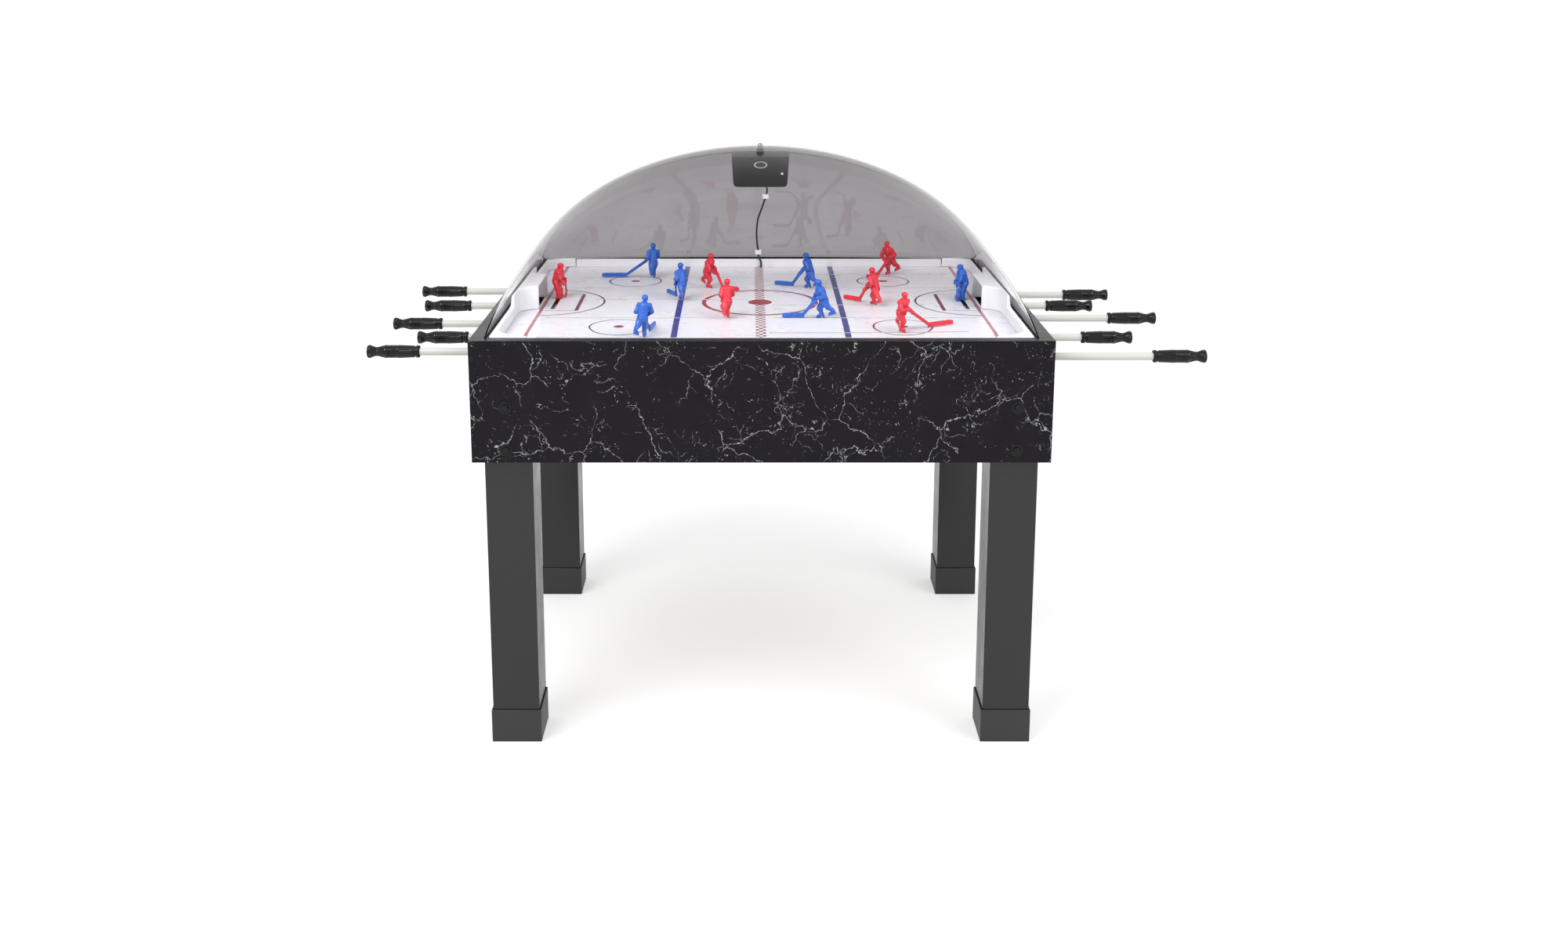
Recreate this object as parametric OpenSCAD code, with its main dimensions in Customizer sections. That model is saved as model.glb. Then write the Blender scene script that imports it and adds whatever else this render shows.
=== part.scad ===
// Rod hockey table with a clear dome, built as an assembly of separate pieces.
// Millimetres. X runs from goal to goal, Y from front to back, Z up from the floor.
// The origin is on the floor, midway between the four feet.

/* [Cabinet] */
// Length over the end panels
table_l = 1067; // [960:1:1200]
// Width over the front and back aprons
table_w = 810; // [780:1:900]
// Height of the top rails above the floor
rim_z = 799; // [740:1:860]
// Height of the aprons below the top rails
apron_h = 219; // [190:1:250]
// Thickness of the aprons and end panels
panel_t = 20; // [18:0.5:24]
// Height of the top rails
rail_h = 12; // [10:0.5:16]
// Width of the front and back top rails
side_rail_w = 24; // [23:0.5:28]
// Width of the end top rails
end_rail_w = 33; // [32:0.5:38]

/* [Legs] */
// Side of the square legs
leg_w = 89; // [70:1:95]
// Height of the leg tops, below the rods
leg_top_z = 716; // [650:1:722]
// Wall of the square boots
boot_wall = 3; // [2:0.5:6]
// Height of the boots
boot_h = 66; // [40:1:90]

/* [Rink] */
// Depth of the ice below the rim
rink_drop = 19; // [17:0.5:24]
// Thickness of the playfield board
board_t = 9; // [8:0.5:10]
// Width of the players' slots
slot_w = 6; // [5.5:0.1:8]
// Distance of the goalies' slots from the fronts of the goals
goalie_gap = 27; // [22:1:37]
// Half length of the goalies' slots
goalie_slot = 64; // [55:1:70]
// Half width of the goal mouth
goal_half = 57; // [45:1:60]
// Height of the goal mouth
goal_h = 44; // [35:1:46]

/* [Dome] */
// Inset of the dome from the ends of the cabinet
dome_in_x = 26.5; // [23.5:0.5:28.5]
// Inset of the dome from the front and back of the cabinet
dome_in_y = 17; // [15:0.5:19]
// Rise of the dome above the bottom of its groove
dome_rise = 304; // [270:1:330]
// Thickness of the dome's sheet
dome_t = 3; // [2.5:0.1:3.2]

/* [Rods and players] */
// Depth of the rods' axes below the ice
rod_drop = 40; // [38:0.5:44]
// Diameter of the rods
rod_d = 15; // [12:0.5:16]
// Length of the handles
handle_l = 101; // [90:1:104]
// Diameter of the players' spindles
spindle_d = 4.5; // [3.5:0.1:5]
// Height of the figures
figure_h = 78; // [68:1:84]
// Reach of the long sticks
long_reach = 118; // [105:1:120]
// Reach of the other sticks
short_reach = 79; // [65:1:80]

/* [Hidden] */
$fn = 48;
rink_z = rim_z - rink_drop;
rod_z = rink_z - rod_drop;
board_z = rink_z - board_t;
apron_top = rim_z - rail_h;
apron_z = apron_top - apron_h;
half_l = table_l / 2;
half_w = table_w / 2;
inner_x = half_l - panel_t;
inner_y = half_w - panel_t;
rod_r = rod_d / 2;
spindle_r = spindle_d / 2;
run_gap = 0.05;
seat_gap = 0.2;
butt_gap = 0.1;
groove_d = 5;
groove_z = rim_z - groove_d;
liner_t = 3.2;
liner_y = half_w - side_rail_w - seat_gap - liner_t;
cleat_w = 18;
gear_in = 7.5;
gear_out = 14;
gear_gap = 0.4;
leg_x = inner_x - leg_w / 2;
leg_y = inner_y - leg_w / 2;
bolt_zs = [apron_z + 24, apron_z + 105];
boot_w = leg_w + 2 * boot_wall;
dome_a = half_l - dome_in_x;
dome_b = half_w - dome_in_y;
end_wall = 11.5;
end_out = half_l - end_rail_w - 1;
end_in = end_out - end_wall;
corner_r = 60;
goal_depth = 36;
goal_front = end_in - goal_depth;
goalie_x = goal_front - goalie_gap;
goal_wall = 11;
lobe_z = rim_z + 4;
goal_z = rink_z + goal_h + 5;
arch_power = 0.58;
// Half length of the dome's inside at a height
function dome_reach(z) =
    (dome_a - dome_t) * sqrt(1 - pow((z - groove_z) / (dome_rise - dome_t), 1 / arch_power));
end_gap = 1.5;
end_top = dome_reach(goal_z) - end_gap;

black = [0.05, 0.05, 0.06];
white = [0.93, 0.93, 0.94];
red = [0.8, 0.08, 0.1];
blue = [0.08, 0.22, 0.68];
steel = [0.75, 0.75, 0.77];

// Field players: name, side of the handle, lane, spindle at rest, rod length from spindle to
// handle end, direction of the stick, reach of the stick, nearer and farther end of the slot
wing_out = half_l + 531.5;
wing_in = half_l + 491.5;
centre_rod = half_l + 463.5;
defence_rod = half_l + 85.5;
wing_out_far = end_in - 64;
wing_in_far = end_in - 92;
centre_far = end_in - 145;
defence_far = end_in - 61;
units = [
    ["red_front_wing", -1, -254, 269, wing_in, 26, long_reach, 19, wing_in_far],
    ["red_front_defence", -1, -142, -65, defence_rod, 101, short_reach, -28, -defence_far],
    ["red_centre", -1, -25, 237, centre_rod, 139, short_reach, 27, centre_far],
    ["red_back_defence", -1, 142, -112, defence_rod, -32, short_reach, -28, -defence_far],
    ["red_back_wing", -1, 290, 296, wing_out, 226, short_reach, 28, wing_out_far],
    ["blue_front_wing", 1, -290, -221, wing_out, 78, short_reach, -28, -wing_out_far],
    ["blue_front_defence", 1, -142, 122, defence_rod, 183, short_reach, 28, defence_far],
    ["blue_centre", 1, 25, -163, centre_rod, 120, short_reach - 9, -27, -centre_far],
    ["blue_back_defence", 1, 142, 108, defence_rod, 159, short_reach, 28, defence_far],
    ["blue_back_wing", 1, 254, -237, wing_in, 180, long_reach, -19, -wing_in_far],
];
function name_of(u) = u[0];
function side_of(u) = u[1];
function lane_of(u) = u[2];
function spindle_of(u) = u[3];
function rod_of(u) = u[4];
function stick_of(u) = u[5];
function reach_of(u) = u[6];
function team_of(u) = side_of(u) < 0 ? red : blue;
// Goalies: side, place along the slot at rest
red_keeper_y = 41;
blue_keeper_y = 26;

fixed_nodes = ["aprons", "end_panels", "top_rails", "cleats", "playfield", "side_boards", "end_boards",
    "goal_cups", "legs", "leg_boots", "leg_bolts", "apron_screws", "rod_bushings", "dome", "scoring_box",
    "dome_nut", "score_cable", "cable_clips", "red_goalie", "blue_goalie"];
unit_pieces = ["_carriage", "_rod", "_handle", "_player"];

// Helpers

// A box from one corner to the opposite one
module box(low, high) {
    translate(low) cube(high - low);
}

// A round bar from p to q, with a radius at each end
module bar(p, q, r1, r2) {
    v = q - p;
    len = norm(v);
    translate(p)
        rotate([0, acos(v[2] / len), atan2(v[1], v[0])])
            cylinder(h = len, r1 = r1, r2 = r2);
}

// Children at all four corners, mirrored
module corners() {
    for (mx = [0, 1]) for (my = [0, 1])
        mirror([mx, 0, 0]) mirror([0, my, 0]) children();
}

// Children at both ends of the rink, turned half round
module both_ends() {
    for (turn = [0, 180]) rotate([0, 0, turn]) children();
}

// Cabinet

// Places of the leg bolts on an apron: [x, z]
apron_bolts = [for (x = [-leg_x, leg_x]) for (z = bolt_zs) [x, z]];
// Places of the leg bolts on an end panel: [y, z]
panel_bolts = [for (y = [-leg_y, leg_y]) for (z = bolt_zs) [y, z]];
bolt_r = 4;
// Screws on an apron: [x, z, length]
edge_screw_x = half_l - 7;
apron_screws_at = concat(
    [for (x = [-edge_screw_x, edge_screw_x]) for (f = [0.15, 0.52, 0.9]) [x, apron_z + f * apron_h, 34]],
    [for (x = [-leg_x, -164, 164, leg_x]) [x, apron_z + 0.605 * apron_h, 16]]);
screw_r = 1.8;

module apron_holes(bore) {
    for (b = apron_bolts)
        translate([b[0], -half_w - 1, b[1]]) rotate([-90, 0, 0]) cylinder(h = panel_t + 60, r = bore);
}

module screw_holes() {
    for (s = apron_screws_at)
        translate([s[0], -half_w - 1, s[1]]) rotate([-90, 0, 0]) cylinder(h = s[2] + 1.5, r = screw_r + 0.1, $fn = 24);
}

module panel_bolt_holes(bore) {
    for (b = panel_bolts)
        translate([half_l + 1, b[0], b[1]]) rotate([0, -90, 0]) cylinder(h = panel_t + 60, r = bore);
}

module aprons() {
    color(black) both_ends() difference() {
        box([-half_l, -half_w, apron_z], [half_l, -inner_y, apron_top]);
        apron_holes(bolt_r + 0.3);
        screw_holes();
    }
}

module end_panels() {
    color(black) both_ends() difference() {
        box([inner_x, -inner_y, apron_z], [half_l, inner_y, apron_top]);
        panel_bolt_holes(bolt_r + 0.3);
        both_ends() screw_holes();
        for (u = units) if (side_of(u) > 0)
            translate([inner_x - 1, lane_of(u), rod_z]) rotate([0, 90, 0]) cylinder(h = panel_t + 2, r = bush_r + 0.1);
    }
}

module top_rails() {
    color(black) both_ends() {
        difference() {
            box([-half_l, -half_w, apron_top], [half_l, side_rail_w - half_w, rim_z]);
            box([-dome_a - 0.4, -dome_b - 0.4, groove_z], [dome_a + 0.4, dome_t + 1 - dome_b, rim_z + 1]);
            for (s = [-1, 1]) end_groove(s);
        }
        difference() {
            rail_end = half_w - side_rail_w - butt_gap;
            box([half_l - end_rail_w, -rail_end, apron_top], [half_l, rail_end, rim_z]);
            end_groove(1);
        }
    }
}

module end_groove(s) {
    scale([s, 1, 1])
        box([dome_a - dome_t - 1.4, -dome_b - 0.4, groove_z], [dome_a + 0.4, dome_b + 0.4, rim_z + 1]);
}

// Wooden strips that carry the playfield
module cleats() {
    color([0.72, 0.58, 0.4]) both_ends() {
        box([-inner_x, -inner_y, board_z - cleat_w], [inner_x, cleat_w - inner_y, board_z]);
        cleat_end = inner_y - cleat_w - butt_gap;
        box([inner_x - cleat_w, -cleat_end, board_z - cleat_w], [inner_x, cleat_end, board_z]);
    }
}

// Legs

module legs() {
    color(black) corners() difference() {
        box([leg_x - leg_w / 2, leg_y - leg_w / 2, 5], [leg_x + leg_w / 2, leg_y + leg_w / 2, leg_top_z]);
        rotate([0, 0, 180]) apron_holes(bolt_r + 0.1);
        panel_bolt_holes(bolt_r + 0.1);
        rotate([0, 0, 180]) screw_holes();
    }
}

// Square plastic caps that the legs stand in
module leg_boots() {
    color(black) corners() difference() {
        box([leg_x - boot_w / 2, leg_y - boot_w / 2, 0], [leg_x + boot_w / 2, leg_y + boot_w / 2, boot_h]);
        pocket = leg_w / 2 + seat_gap;
        box([leg_x - pocket, leg_y - pocket, 5], [leg_x + pocket, leg_y + pocket, boot_h + 1]);
    }
}

// Hex bolt with a washer, pointing along +Z from the face it is tightened on
module leg_bolt() {
    translate([0, 0, -2.2]) cylinder(h = 2.2, r = 12);
    translate([0, 0, -7.5]) cylinder(h = 5.4, r = 7.5, $fn = 6);
    translate([0, 0, -3]) cylinder(h = 60, r = bolt_r);
}

module leg_bolts() {
    color([0.12, 0.12, 0.13]) both_ends() {
        for (b = apron_bolts) translate([b[0], -half_w, b[1]]) rotate([-90, 0, 0]) leg_bolt();
        for (b = panel_bolts) translate([half_l, b[0], b[1]]) rotate([0, -90, 0]) leg_bolt();
    }
}

module apron_screws() {
    color([0.1, 0.1, 0.1]) both_ends() for (s = apron_screws_at)
        translate([s[0], -half_w, s[1]]) rotate([-90, 0, 0]) {
            translate([0, 0, -1.6]) cylinder(h = 1.6, r = 4, $fn = 24);
            translate([0, 0, -1]) cylinder(h = s[2] + 1, r = screw_r, $fn = 24);
        }
}

// Rink

module player_slot(u) {
    y = lane_of(u);
    ends = [min(u[7], u[8]), max(u[7], u[8])];
    for (x = ends) translate([x, y, board_z - 1]) cylinder(h = board_t + 2, d = slot_w);
    box([ends[0], y - slot_w / 2, board_z - 1], [ends[1], y + slot_w / 2, rink_z + 1]);
}

module playfield() {
    color(white) difference() {
        box([-inner_x + 1, -inner_y + 1, board_z], [inner_x - 1, inner_y - 1, rink_z]);
        for (u = units) player_slot(u);
        cable_end = cable_route[len(cable_route) - 1];
        translate([cable_end[0], cable_end[1], board_z - 1]) cylinder(h = board_t + 2, r = cable_r + 0.5, $fn = 24);
        both_ends() {
            box([goalie_x - 4.5, -goalie_slot, board_z - 1], [goalie_x + 4.5, goalie_slot, rink_z + 1]);
            box([goal_front + 4, 4 - goal_half, board_z - 1], [end_in - 4, goal_half - 4, rink_z + 1]);
        }
    }
}

// Thin white boards along the front and back of the rink
module side_boards() {
    color(white) both_ends()
        box([-side_len, liner_y, rink_z], [side_len, liner_y + liner_t, rim_z]);
}
side_len = end_in - corner_r - 0.5;

// Open floor of one corner behind the goal line, in plan
module corner_bay() {
    low_y = goal_half + goal_wall;
    fillet = 36;
    difference() {
        translate([300, low_y]) square([end_in - 300, liner_y - low_y]);
        difference() {
            translate([end_in - corner_r, liner_y - corner_r]) square(corner_r + 1);
            translate([end_in - corner_r, liner_y - corner_r]) circle(corner_r, $fn = 96);
        }
        difference() {
            translate([end_in - fillet, low_y - 1]) square(fillet + 1);
            translate([end_in - fillet, low_y + fillet]) circle(fillet, $fn = 96);
        }
    }
}

module end_plan(out, half) {
    difference() {
        translate([end_in - corner_r, -half]) square([out - end_in + corner_r, 2 * half]);
        translate([300, -goal_half - goal_wall - 1]) square([goal_front - 300, 2 * (goal_half + goal_wall + 1)]);
        for (m = [0, 1]) mirror([0, m, 0]) corner_bay();
    }
}

// White moulded end of the rink: rounded corners and the goal housing
module end_boards() {
    color(white) both_ends() difference() {
        union() {
            translate([0, 0, rink_z]) linear_extrude(lobe_z - rink_z) end_plan(end_out, liner_y + liner_t);
            translate([0, 0, rink_z]) linear_extrude(goal_z - rink_z) end_plan(end_top, 150);
        }
        box([goal_front - 5, -goal_half, rink_z - 1], [end_in - 2, goal_half, rink_z + goal_h]);
    }
}

// Black trays that catch the puck under the goal mouths
module goal_cups() {
    color(black) both_ends() difference() {
        box([goal_front, -goal_half, board_z - 20], [end_in, goal_half, board_z]);
        box([goal_front + 2, 2 - goal_half, board_z - 18], [end_in - 2, goal_half - 2, board_z + 1]);
    }
}

// Dome

crown_power = 0.13;
function arch(s) = pow(max(0, 1 - s * s), arch_power);
function crown(s) = pow(max(0, 1 - s * s), crown_power);
// Places across the dome, as a share of its half size, closer together where it curves most
arch_at = [for (i = [0:28]) -cos(i * 180 / 28)];
crown_levels = [0, 0.5, 0.64, 0.74, 0.82, 0.88, 0.93, 0.97, 1];
crown_half = [for (k = crown_levels) sqrt(1 - pow(k, 1 / crown_power))];
crown_at = concat([for (s = crown_half) -s], [for (i = [len(crown_half) - 2:-1:0]) crown_half[i]]);

// One skin of the dome as rows of points
function skin(a, b, rise) = [for (t = crown_at) for (s = arch_at)
    [a * s, b * t, groove_z + rise * arch(s) * crown(t)]];

// Thin shell: an outer skin, an inner skin and the foot that joins their edges
module dome_shell() {
    n = len(arch_at);
    m = len(crown_at);
    points = concat(skin(dome_a, dome_b, dome_rise), skin(dome_a - dome_t, dome_b - dome_t, dome_rise - dome_t));
    in = n * m;
    edge = concat([for (i = [0:n - 1]) i], [for (j = [1:m - 1]) j * n + n - 1],
        [for (i = [n - 2:-1:0]) (m - 1) * n + i], [for (j = [m - 2:-1:1]) j * n]);
    outer = [for (j = [0:m - 2]) for (i = [0:n - 2]) let (p = j * n + i)
        each (i < n / 2 - 1) == (j < m / 2 - 1)
            ? [[p, p + n + 1, p + 1], [p, p + n, p + n + 1]]
            : [[p, p + n, p + 1], [p + n, p + n + 1, p + 1]]];
    inner = [for (f = outer) [f[0] + in, f[2] + in, f[1] + in]];
    foot = [for (k = [0:len(edge) - 1]) let (p = edge[k], q = edge[(k + 1) % len(edge)])
        each [[p, q, q + in], [p, q + in, p + in]]];
    polyhedron(points, concat(outer, inner, foot), convexity = 6);
}

module dome() {
    color([0.75, 0.77, 0.8, 0.35]) difference() {
        dome_shell();
        translate([0, 0, groove_z + dome_rise - 20]) cylinder(h = 40, r = stud_r + 0.5);
    }
}

// Scoring box under the crown

stud_r = 3;
crown_z = groove_z + dome_rise;
score_top = crown_z - dome_t - 5;
score_w = 116;
score_d = 100;
score_h = 60;
score_r = 9;

module score_outline() {
    difference() {
        polygon([[-score_w / 2, 0], [score_w / 2, 0], [score_w / 2 - 3, -score_h], [3 - score_w / 2, -score_h]]);
        for (s = [-1, 1]) scale([s, 1]) difference() {
            translate([score_w / 2 - 3 - score_r, -score_h - 1]) square([score_r + 5, score_r + 1]);
            translate([score_w / 2 - 3.2 - score_r, -score_h + score_r]) circle(score_r);
        }
    }
}

module scoring_box() {
    color(black) difference() {
        union() {
            translate([0, score_d / 2, score_top]) rotate([90, 0, 0]) linear_extrude(score_d) score_outline();
            translate([0, 0, score_top - 1]) cylinder(h = 5.2, r = 9);
        }
        translate([0, 0, score_top - 22]) cylinder(h = 40, r = stud_r + 0.05);
        translate([cable_route[0][0], cable_route[0][1] - 8, cable_route[0][2]])
            rotate([-90, 0, 0]) cylinder(h = 20, r = cable_r + 0.2);
    }
}

// Cap nut, washer and stud that hold the box to the dome
module dome_nut() {
    color(steel) translate([0, 0, crown_z + 0.2]) {
        cylinder(h = 1.4, r = 9);
        translate([0, 0, 1]) cylinder(h = 6, r = 7.2, $fn = 6);
        translate([0, 0, 6]) cylinder(h = 4, r = 5.6);
        translate([0, 0, 10]) sphere(5.6);
        translate([0, 0, -29]) cylinder(h = 32, r = stud_r);
    }
}

// Cable from the back of the box, across to the back wall and down it into the playfield
cable_r = 2;
wall_y = dome_b - dome_t - 6;
cable_route = [
    [12, score_d / 2 - 4, score_top - 30],
    [12, 66, score_top - 30],
    [13, 110, score_top - 40],
    [14, 170, score_top - 61],
    [16, 230, score_top - 82],
    [17, 290, score_top - 102],
    [18, 345, score_top - 117],
    [19, 370, score_top - 123.5],
    [19, wall_y, score_top - 131],
    [13, wall_y, score_top - 153],
    [6, wall_y, score_top - 173],
    [-2, wall_y, score_top - 197],
    [-5, wall_y, score_top - 226],
    [-4, wall_y, score_top - 251],
    [-2, wall_y, rim_z + 23],
    [-0.5, wall_y, rim_z + 9],
    [1.5, liner_y - 2.6, rim_z + 2],
    [5, liner_y - 3, rim_z - 7],
    [5, liner_y - 3, board_z + 1],
];
module score_cable() {
    color(black) {
        for (i = [0:len(cable_route) - 2]) {
            bar(cable_route[i], cable_route[i + 1], cable_r, cable_r, $fn = 24);
            if (i > 0) translate(cable_route[i]) sphere(cable_r + 0.4, $fn = 24);
        }
    }
}

// White clips on the dome's back wall: stretch of the cable that each holds, and how far its back reaches
clips = [[8, 3.3], [14, 5.7]];
module cable_clips() {
    color(white) for (c = clips) {
        from = cable_route[c[0]];
        to = cable_route[c[0] + 1];
        mid = (from + to) / 2;
        v = (to - from) / norm(to - from);
        difference() {
            box(mid - [7, 3.5, 5.5], mid + [7, c[1], 5.5]);
            bar(mid - 20 * v, mid + 20 * v, cable_r + 0.6, cable_r + 0.6, $fn = 24);
        }
    }
}

// Rods

bush_r = rod_r + 3;
module rod_bushings() {
    color(black) for (u = units) translate([side_of(u) * half_l, lane_of(u), rod_z])
        rotate([0, side_of(u) * 90, 0]) difference() {
            union() {
                translate([0, 0, -panel_t]) cylinder(h = panel_t + 1, r = bush_r);
                cylinder(h = 4, r = bush_r + 4.5);
            }
            translate([0, 0, -panel_t - 1]) cylinder(h = panel_t + 10, r = rod_r + run_gap);
        }
}

// Children at a unit's spindle, on the rod's axis, with the handle along -X
module at_unit(u) {
    translate([spindle_of(u), lane_of(u), rod_z]) rotate([0, 0, side_of(u) < 0 ? 0 : 180]) children();
}

// Bracket under the playfield: its top plate bears the spindle and its upright the rod
plate_top = rod_drop - board_t - 0.5;
plate_t = 7.5;
module carriage(u) {
    color([0.85, 0.85, 0.83]) at_unit(u) difference() {
        union() {
            box([-31, -13, plate_top - plate_t], [14, 13, plate_top]);
            box([-30, -13, -12], [-20, 13, plate_top - 1]);
        }
        cylinder(h = 60, r = spindle_r + run_gap);
        translate([-50, 0, 0]) rotate([0, 90, 0]) cylinder(h = 40, r = rod_r + run_gap);
    }
}

// A plain cone that stands for a bevel gear, with its apex at the origin
module bevel_gear() {
    translate([0, 0, gear_in]) cylinder(h = gear_out - gear_in, r1 = gear_in - gear_gap, r2 = gear_out - gear_gap);
    translate([0, 0, gear_out - 0.5]) cylinder(h = 4.5, r = 9);
}

module rod(u) {
    tip = rod_of(u) - 30;
    color([0.94, 0.93, 0.88]) at_unit(u) rotate([0, -90, 0]) {
        bevel_gear();
        translate([0, 0, gear_out]) cylinder(h = tip - gear_out, r = rod_r);
        translate([0, 0, 31.5]) cylinder(h = 5, r = rod_r + 3);
    }
}

// Handle: radius along its length from the rod's side to the outer end
handle_shape = [[0, 10], [0.03, 12], [0.06, 12], [0.08, 10.4], [0.11, 10.4], [0.14, 12.2], [0.4, 11], [0.44, 12.6],
    [0.62, 12.6], [0.66, 10.2], [0.78, 9.6], [0.88, 12.4], [0.95, 13], [0.99, 11.6], [1, 10]];
module handle(u) {
    inner = rod_of(u) - handle_l;
    color(black) at_unit(u) translate([-inner, 0, 0]) rotate([0, -90, 0]) difference() {
        rotate_extrude() polygon(concat([[0, 0]], [for (p = handle_shape) [p[1], p[0] * handle_l]], [[0, handle_l]]));
        translate([0, 0, -1]) cylinder(h = handle_l - 29, r = rod_r + 0.1);
    }
}

// Players

foot_gap = 0.6;
body_scale = figure_h / 78;

// Skating figure at the spindle on the ice, with its stick along +X
module skater(reach, blade) {
    h = body_scale;
    hip = [-4, 3, 34 * h];
    hands = [16, -4, 42 * h];
    ankle = [-21, 11, 10 * h];
    box([-9, -5, 0], [15, 5, 6]);
    bar([1, 0, 3.4], hip, 3.6, 7);
    translate([0.6, 0.25, 6]) sphere(4.6);
    bar(ankle, hip, 4.6, 6.6);
    bar(ankle + [-5, 2, -2], ankle + [8, -3, -4], 3.6, 3);
    translate(ankle) sphere(5.4);
    translate(hip) sphere(10.4);
    bar(hip, [4, 1, 60 * h], 9.4, 11.6);
    bar([3, 1, 56 * h], [8, 0, 70 * h], 5, 4);
    translate([8, 0, 70.6 * h]) sphere(7.2);
    for (shoulder = [[4, -11, 57 * h], [4, 12.5, 57 * h]]) {
        translate(shoulder) sphere(5.4);
        bar(shoulder, hands, 4.5, 3.6);
    }
    translate(hands) sphere(4.9);
    bar([9, 4, 54 * h], [reach - blade + 3, 0, 6], 1.9, 1.9);
    box([reach - blade, -2.2, 1.5], [reach, 2.2, 12]);
}

module player(u) {
    translate([spindle_of(u), lane_of(u), 0]) color(team_of(u)) {
        translate([0, 0, rod_z]) bevel_gear();
        translate([0, 0, rod_z + gear_out]) cylinder(h = rod_drop - gear_out + foot_gap + 1.5, r = spindle_r);
        translate([0, 0, rink_z + foot_gap]) rotate([0, 0, stick_of(u)])
            skater(reach_of(u), reach_of(u) > 100 ? 58 : 44);
    }
}

// Goalie on a slider in its slot, facing +X
module goalie(side, y) {
    translate([side * goalie_x, y, rink_z]) rotate([0, 0, side < 0 ? 0 : 180]) {
        translate([0, 0, -board_t - 3]) cylinder(h = 2.5, r = 9);
        translate([0, 0, -board_t - 1]) cylinder(h = board_t + 3, r = 3.5);
        translate([0, 0, foot_gap]) {
            box([-7, -12, 0], [7, 12, 3]);
            h = body_scale;
            for (s = [-1, 1]) {
                bar([0, 8 * s, 1], [-4, 6 * s, 34 * h], 6, 7);
                bar([3, 11 * s, 55 * h], [12, 13 * s, 34 * h], 4.6, 4);
            }
            bar([-5, 0, 32 * h], [2, 0, 58 * h], 10.5, 11.5);
            bar([1, 0, 54 * h], [5, 0, 68 * h], 5, 4);
            translate([5, 0, 68.6 * h]) sphere(7.4);
            bar([12, 13, 34 * h], [14, 22, 4], 2, 2);
            box([12, 2, 1], [15.5, 26, 10]);
        }
    }
}
module red_goalie() { color(red) goalie(-1, red_keeper_y); }
module blue_goalie() { color(blue) goalie(1, blue_keeper_y); }

// Assembly

aprons();
end_panels();
top_rails();
cleats();
playfield();
side_boards();
end_boards();
goal_cups();
legs();
leg_boots();
leg_bolts();
apron_screws();
rod_bushings();
dome();
scoring_box();
dome_nut();
score_cable();
cable_clips();
red_goalie();
blue_goalie();
for (u = units) {
    carriage(u);
    rod(u);
    handle(u);
    player(u);
}
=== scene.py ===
from math import cos, pi, radians, sin

import bmesh
import bpy
from mathutils import Matrix, Vector


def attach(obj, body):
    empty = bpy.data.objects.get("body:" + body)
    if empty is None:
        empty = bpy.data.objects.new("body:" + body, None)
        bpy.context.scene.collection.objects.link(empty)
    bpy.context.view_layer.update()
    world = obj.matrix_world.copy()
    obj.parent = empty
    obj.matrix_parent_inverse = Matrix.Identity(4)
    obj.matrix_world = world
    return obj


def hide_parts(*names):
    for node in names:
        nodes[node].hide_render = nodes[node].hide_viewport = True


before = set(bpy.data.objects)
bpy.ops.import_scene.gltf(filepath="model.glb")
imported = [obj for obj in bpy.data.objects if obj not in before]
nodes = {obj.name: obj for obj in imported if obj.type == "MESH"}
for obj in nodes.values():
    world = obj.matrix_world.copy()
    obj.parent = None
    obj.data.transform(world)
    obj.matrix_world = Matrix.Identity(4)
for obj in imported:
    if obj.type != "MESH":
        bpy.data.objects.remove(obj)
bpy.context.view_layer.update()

# Rod hockey table under a clear dome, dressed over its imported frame.
# Metres: X runs from goal to goal, Y from the front to the back, Z up from the floor.
scene = bpy.context.scene
scene.view_settings.view_transform = "Standard"


# Camera
# Straight in front of the table and a little above it, so the uprights stay nearly parallel.
# A small downward shift keeps the level view of the aprons while the rink is seen from above.
def put(name, data):
    """An object in the scene that holds some data."""
    obj = bpy.data.objects.new(name, data)
    scene.collection.objects.link(obj)
    return obj


def adjust(thing, **settings):
    """Sets several properties of a thing and gives it back."""
    for name, value in settings.items():
        setattr(thing, name, value)
    return thing


camera = put("camera", bpy.data.cameras.new("camera"))
scene.camera = camera
camera_down = 0.18536
adjust(camera.data, sensor_width=36.0, lens=33.315, shift_x=0.0227, shift_y=-0.14)
camera.location = (-0.0241, -2.9593, 1.4447)
camera.rotation_euler = (pi / 2 - camera_down, 0.0, 0.0)


# Studio
# A wide pale floor, an even white surround and two soft lamps high on either side.
# Floor and surround are white to the eye and in reflections, and light the table at a plain level.
def feed(node, inputs):
    """Feeds a node's inputs from sockets or with plain values."""
    for name, value in inputs.items():
        if isinstance(value, bpy.types.NodeSocket):
            node.id_data.links.new(value, node.inputs[name])
        else:
            node.inputs[name].default_value = value
    return node


def add(tree, kind, inputs, **settings):
    """The outputs of a new node, which is set and fed."""
    return feed(adjust(tree.nodes.new(kind), **settings), inputs).outputs


def maths(operation, a, b=0.0, clamp=False):
    """One step of arithmetic in the tree of its values."""
    tree = (a if isinstance(a, bpy.types.NodeSocket) else b).id_data
    return add(tree, "ShaderNodeMath", {0: a, 1: b}, operation=operation, use_clamp=clamp)[0]


def times(a, b):
    """The product of two values, or where two marks overlap."""
    return maths("MULTIPLY", a, b)


def plus(a, b, clamp=False):
    """The sum of two values."""
    return maths("ADD", a, b, clamp)


def seen_directly(tree):
    """1 for rays from the eye, also by way of gloss or glass, and 0 for rays that only carry light."""
    path = tree.nodes.new("ShaderNodeLightPath").outputs
    return plus(plus(path["Is Glossy Ray"], path["Is Transmission Ray"]), path["Is Camera Ray"], clamp=True)


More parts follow.
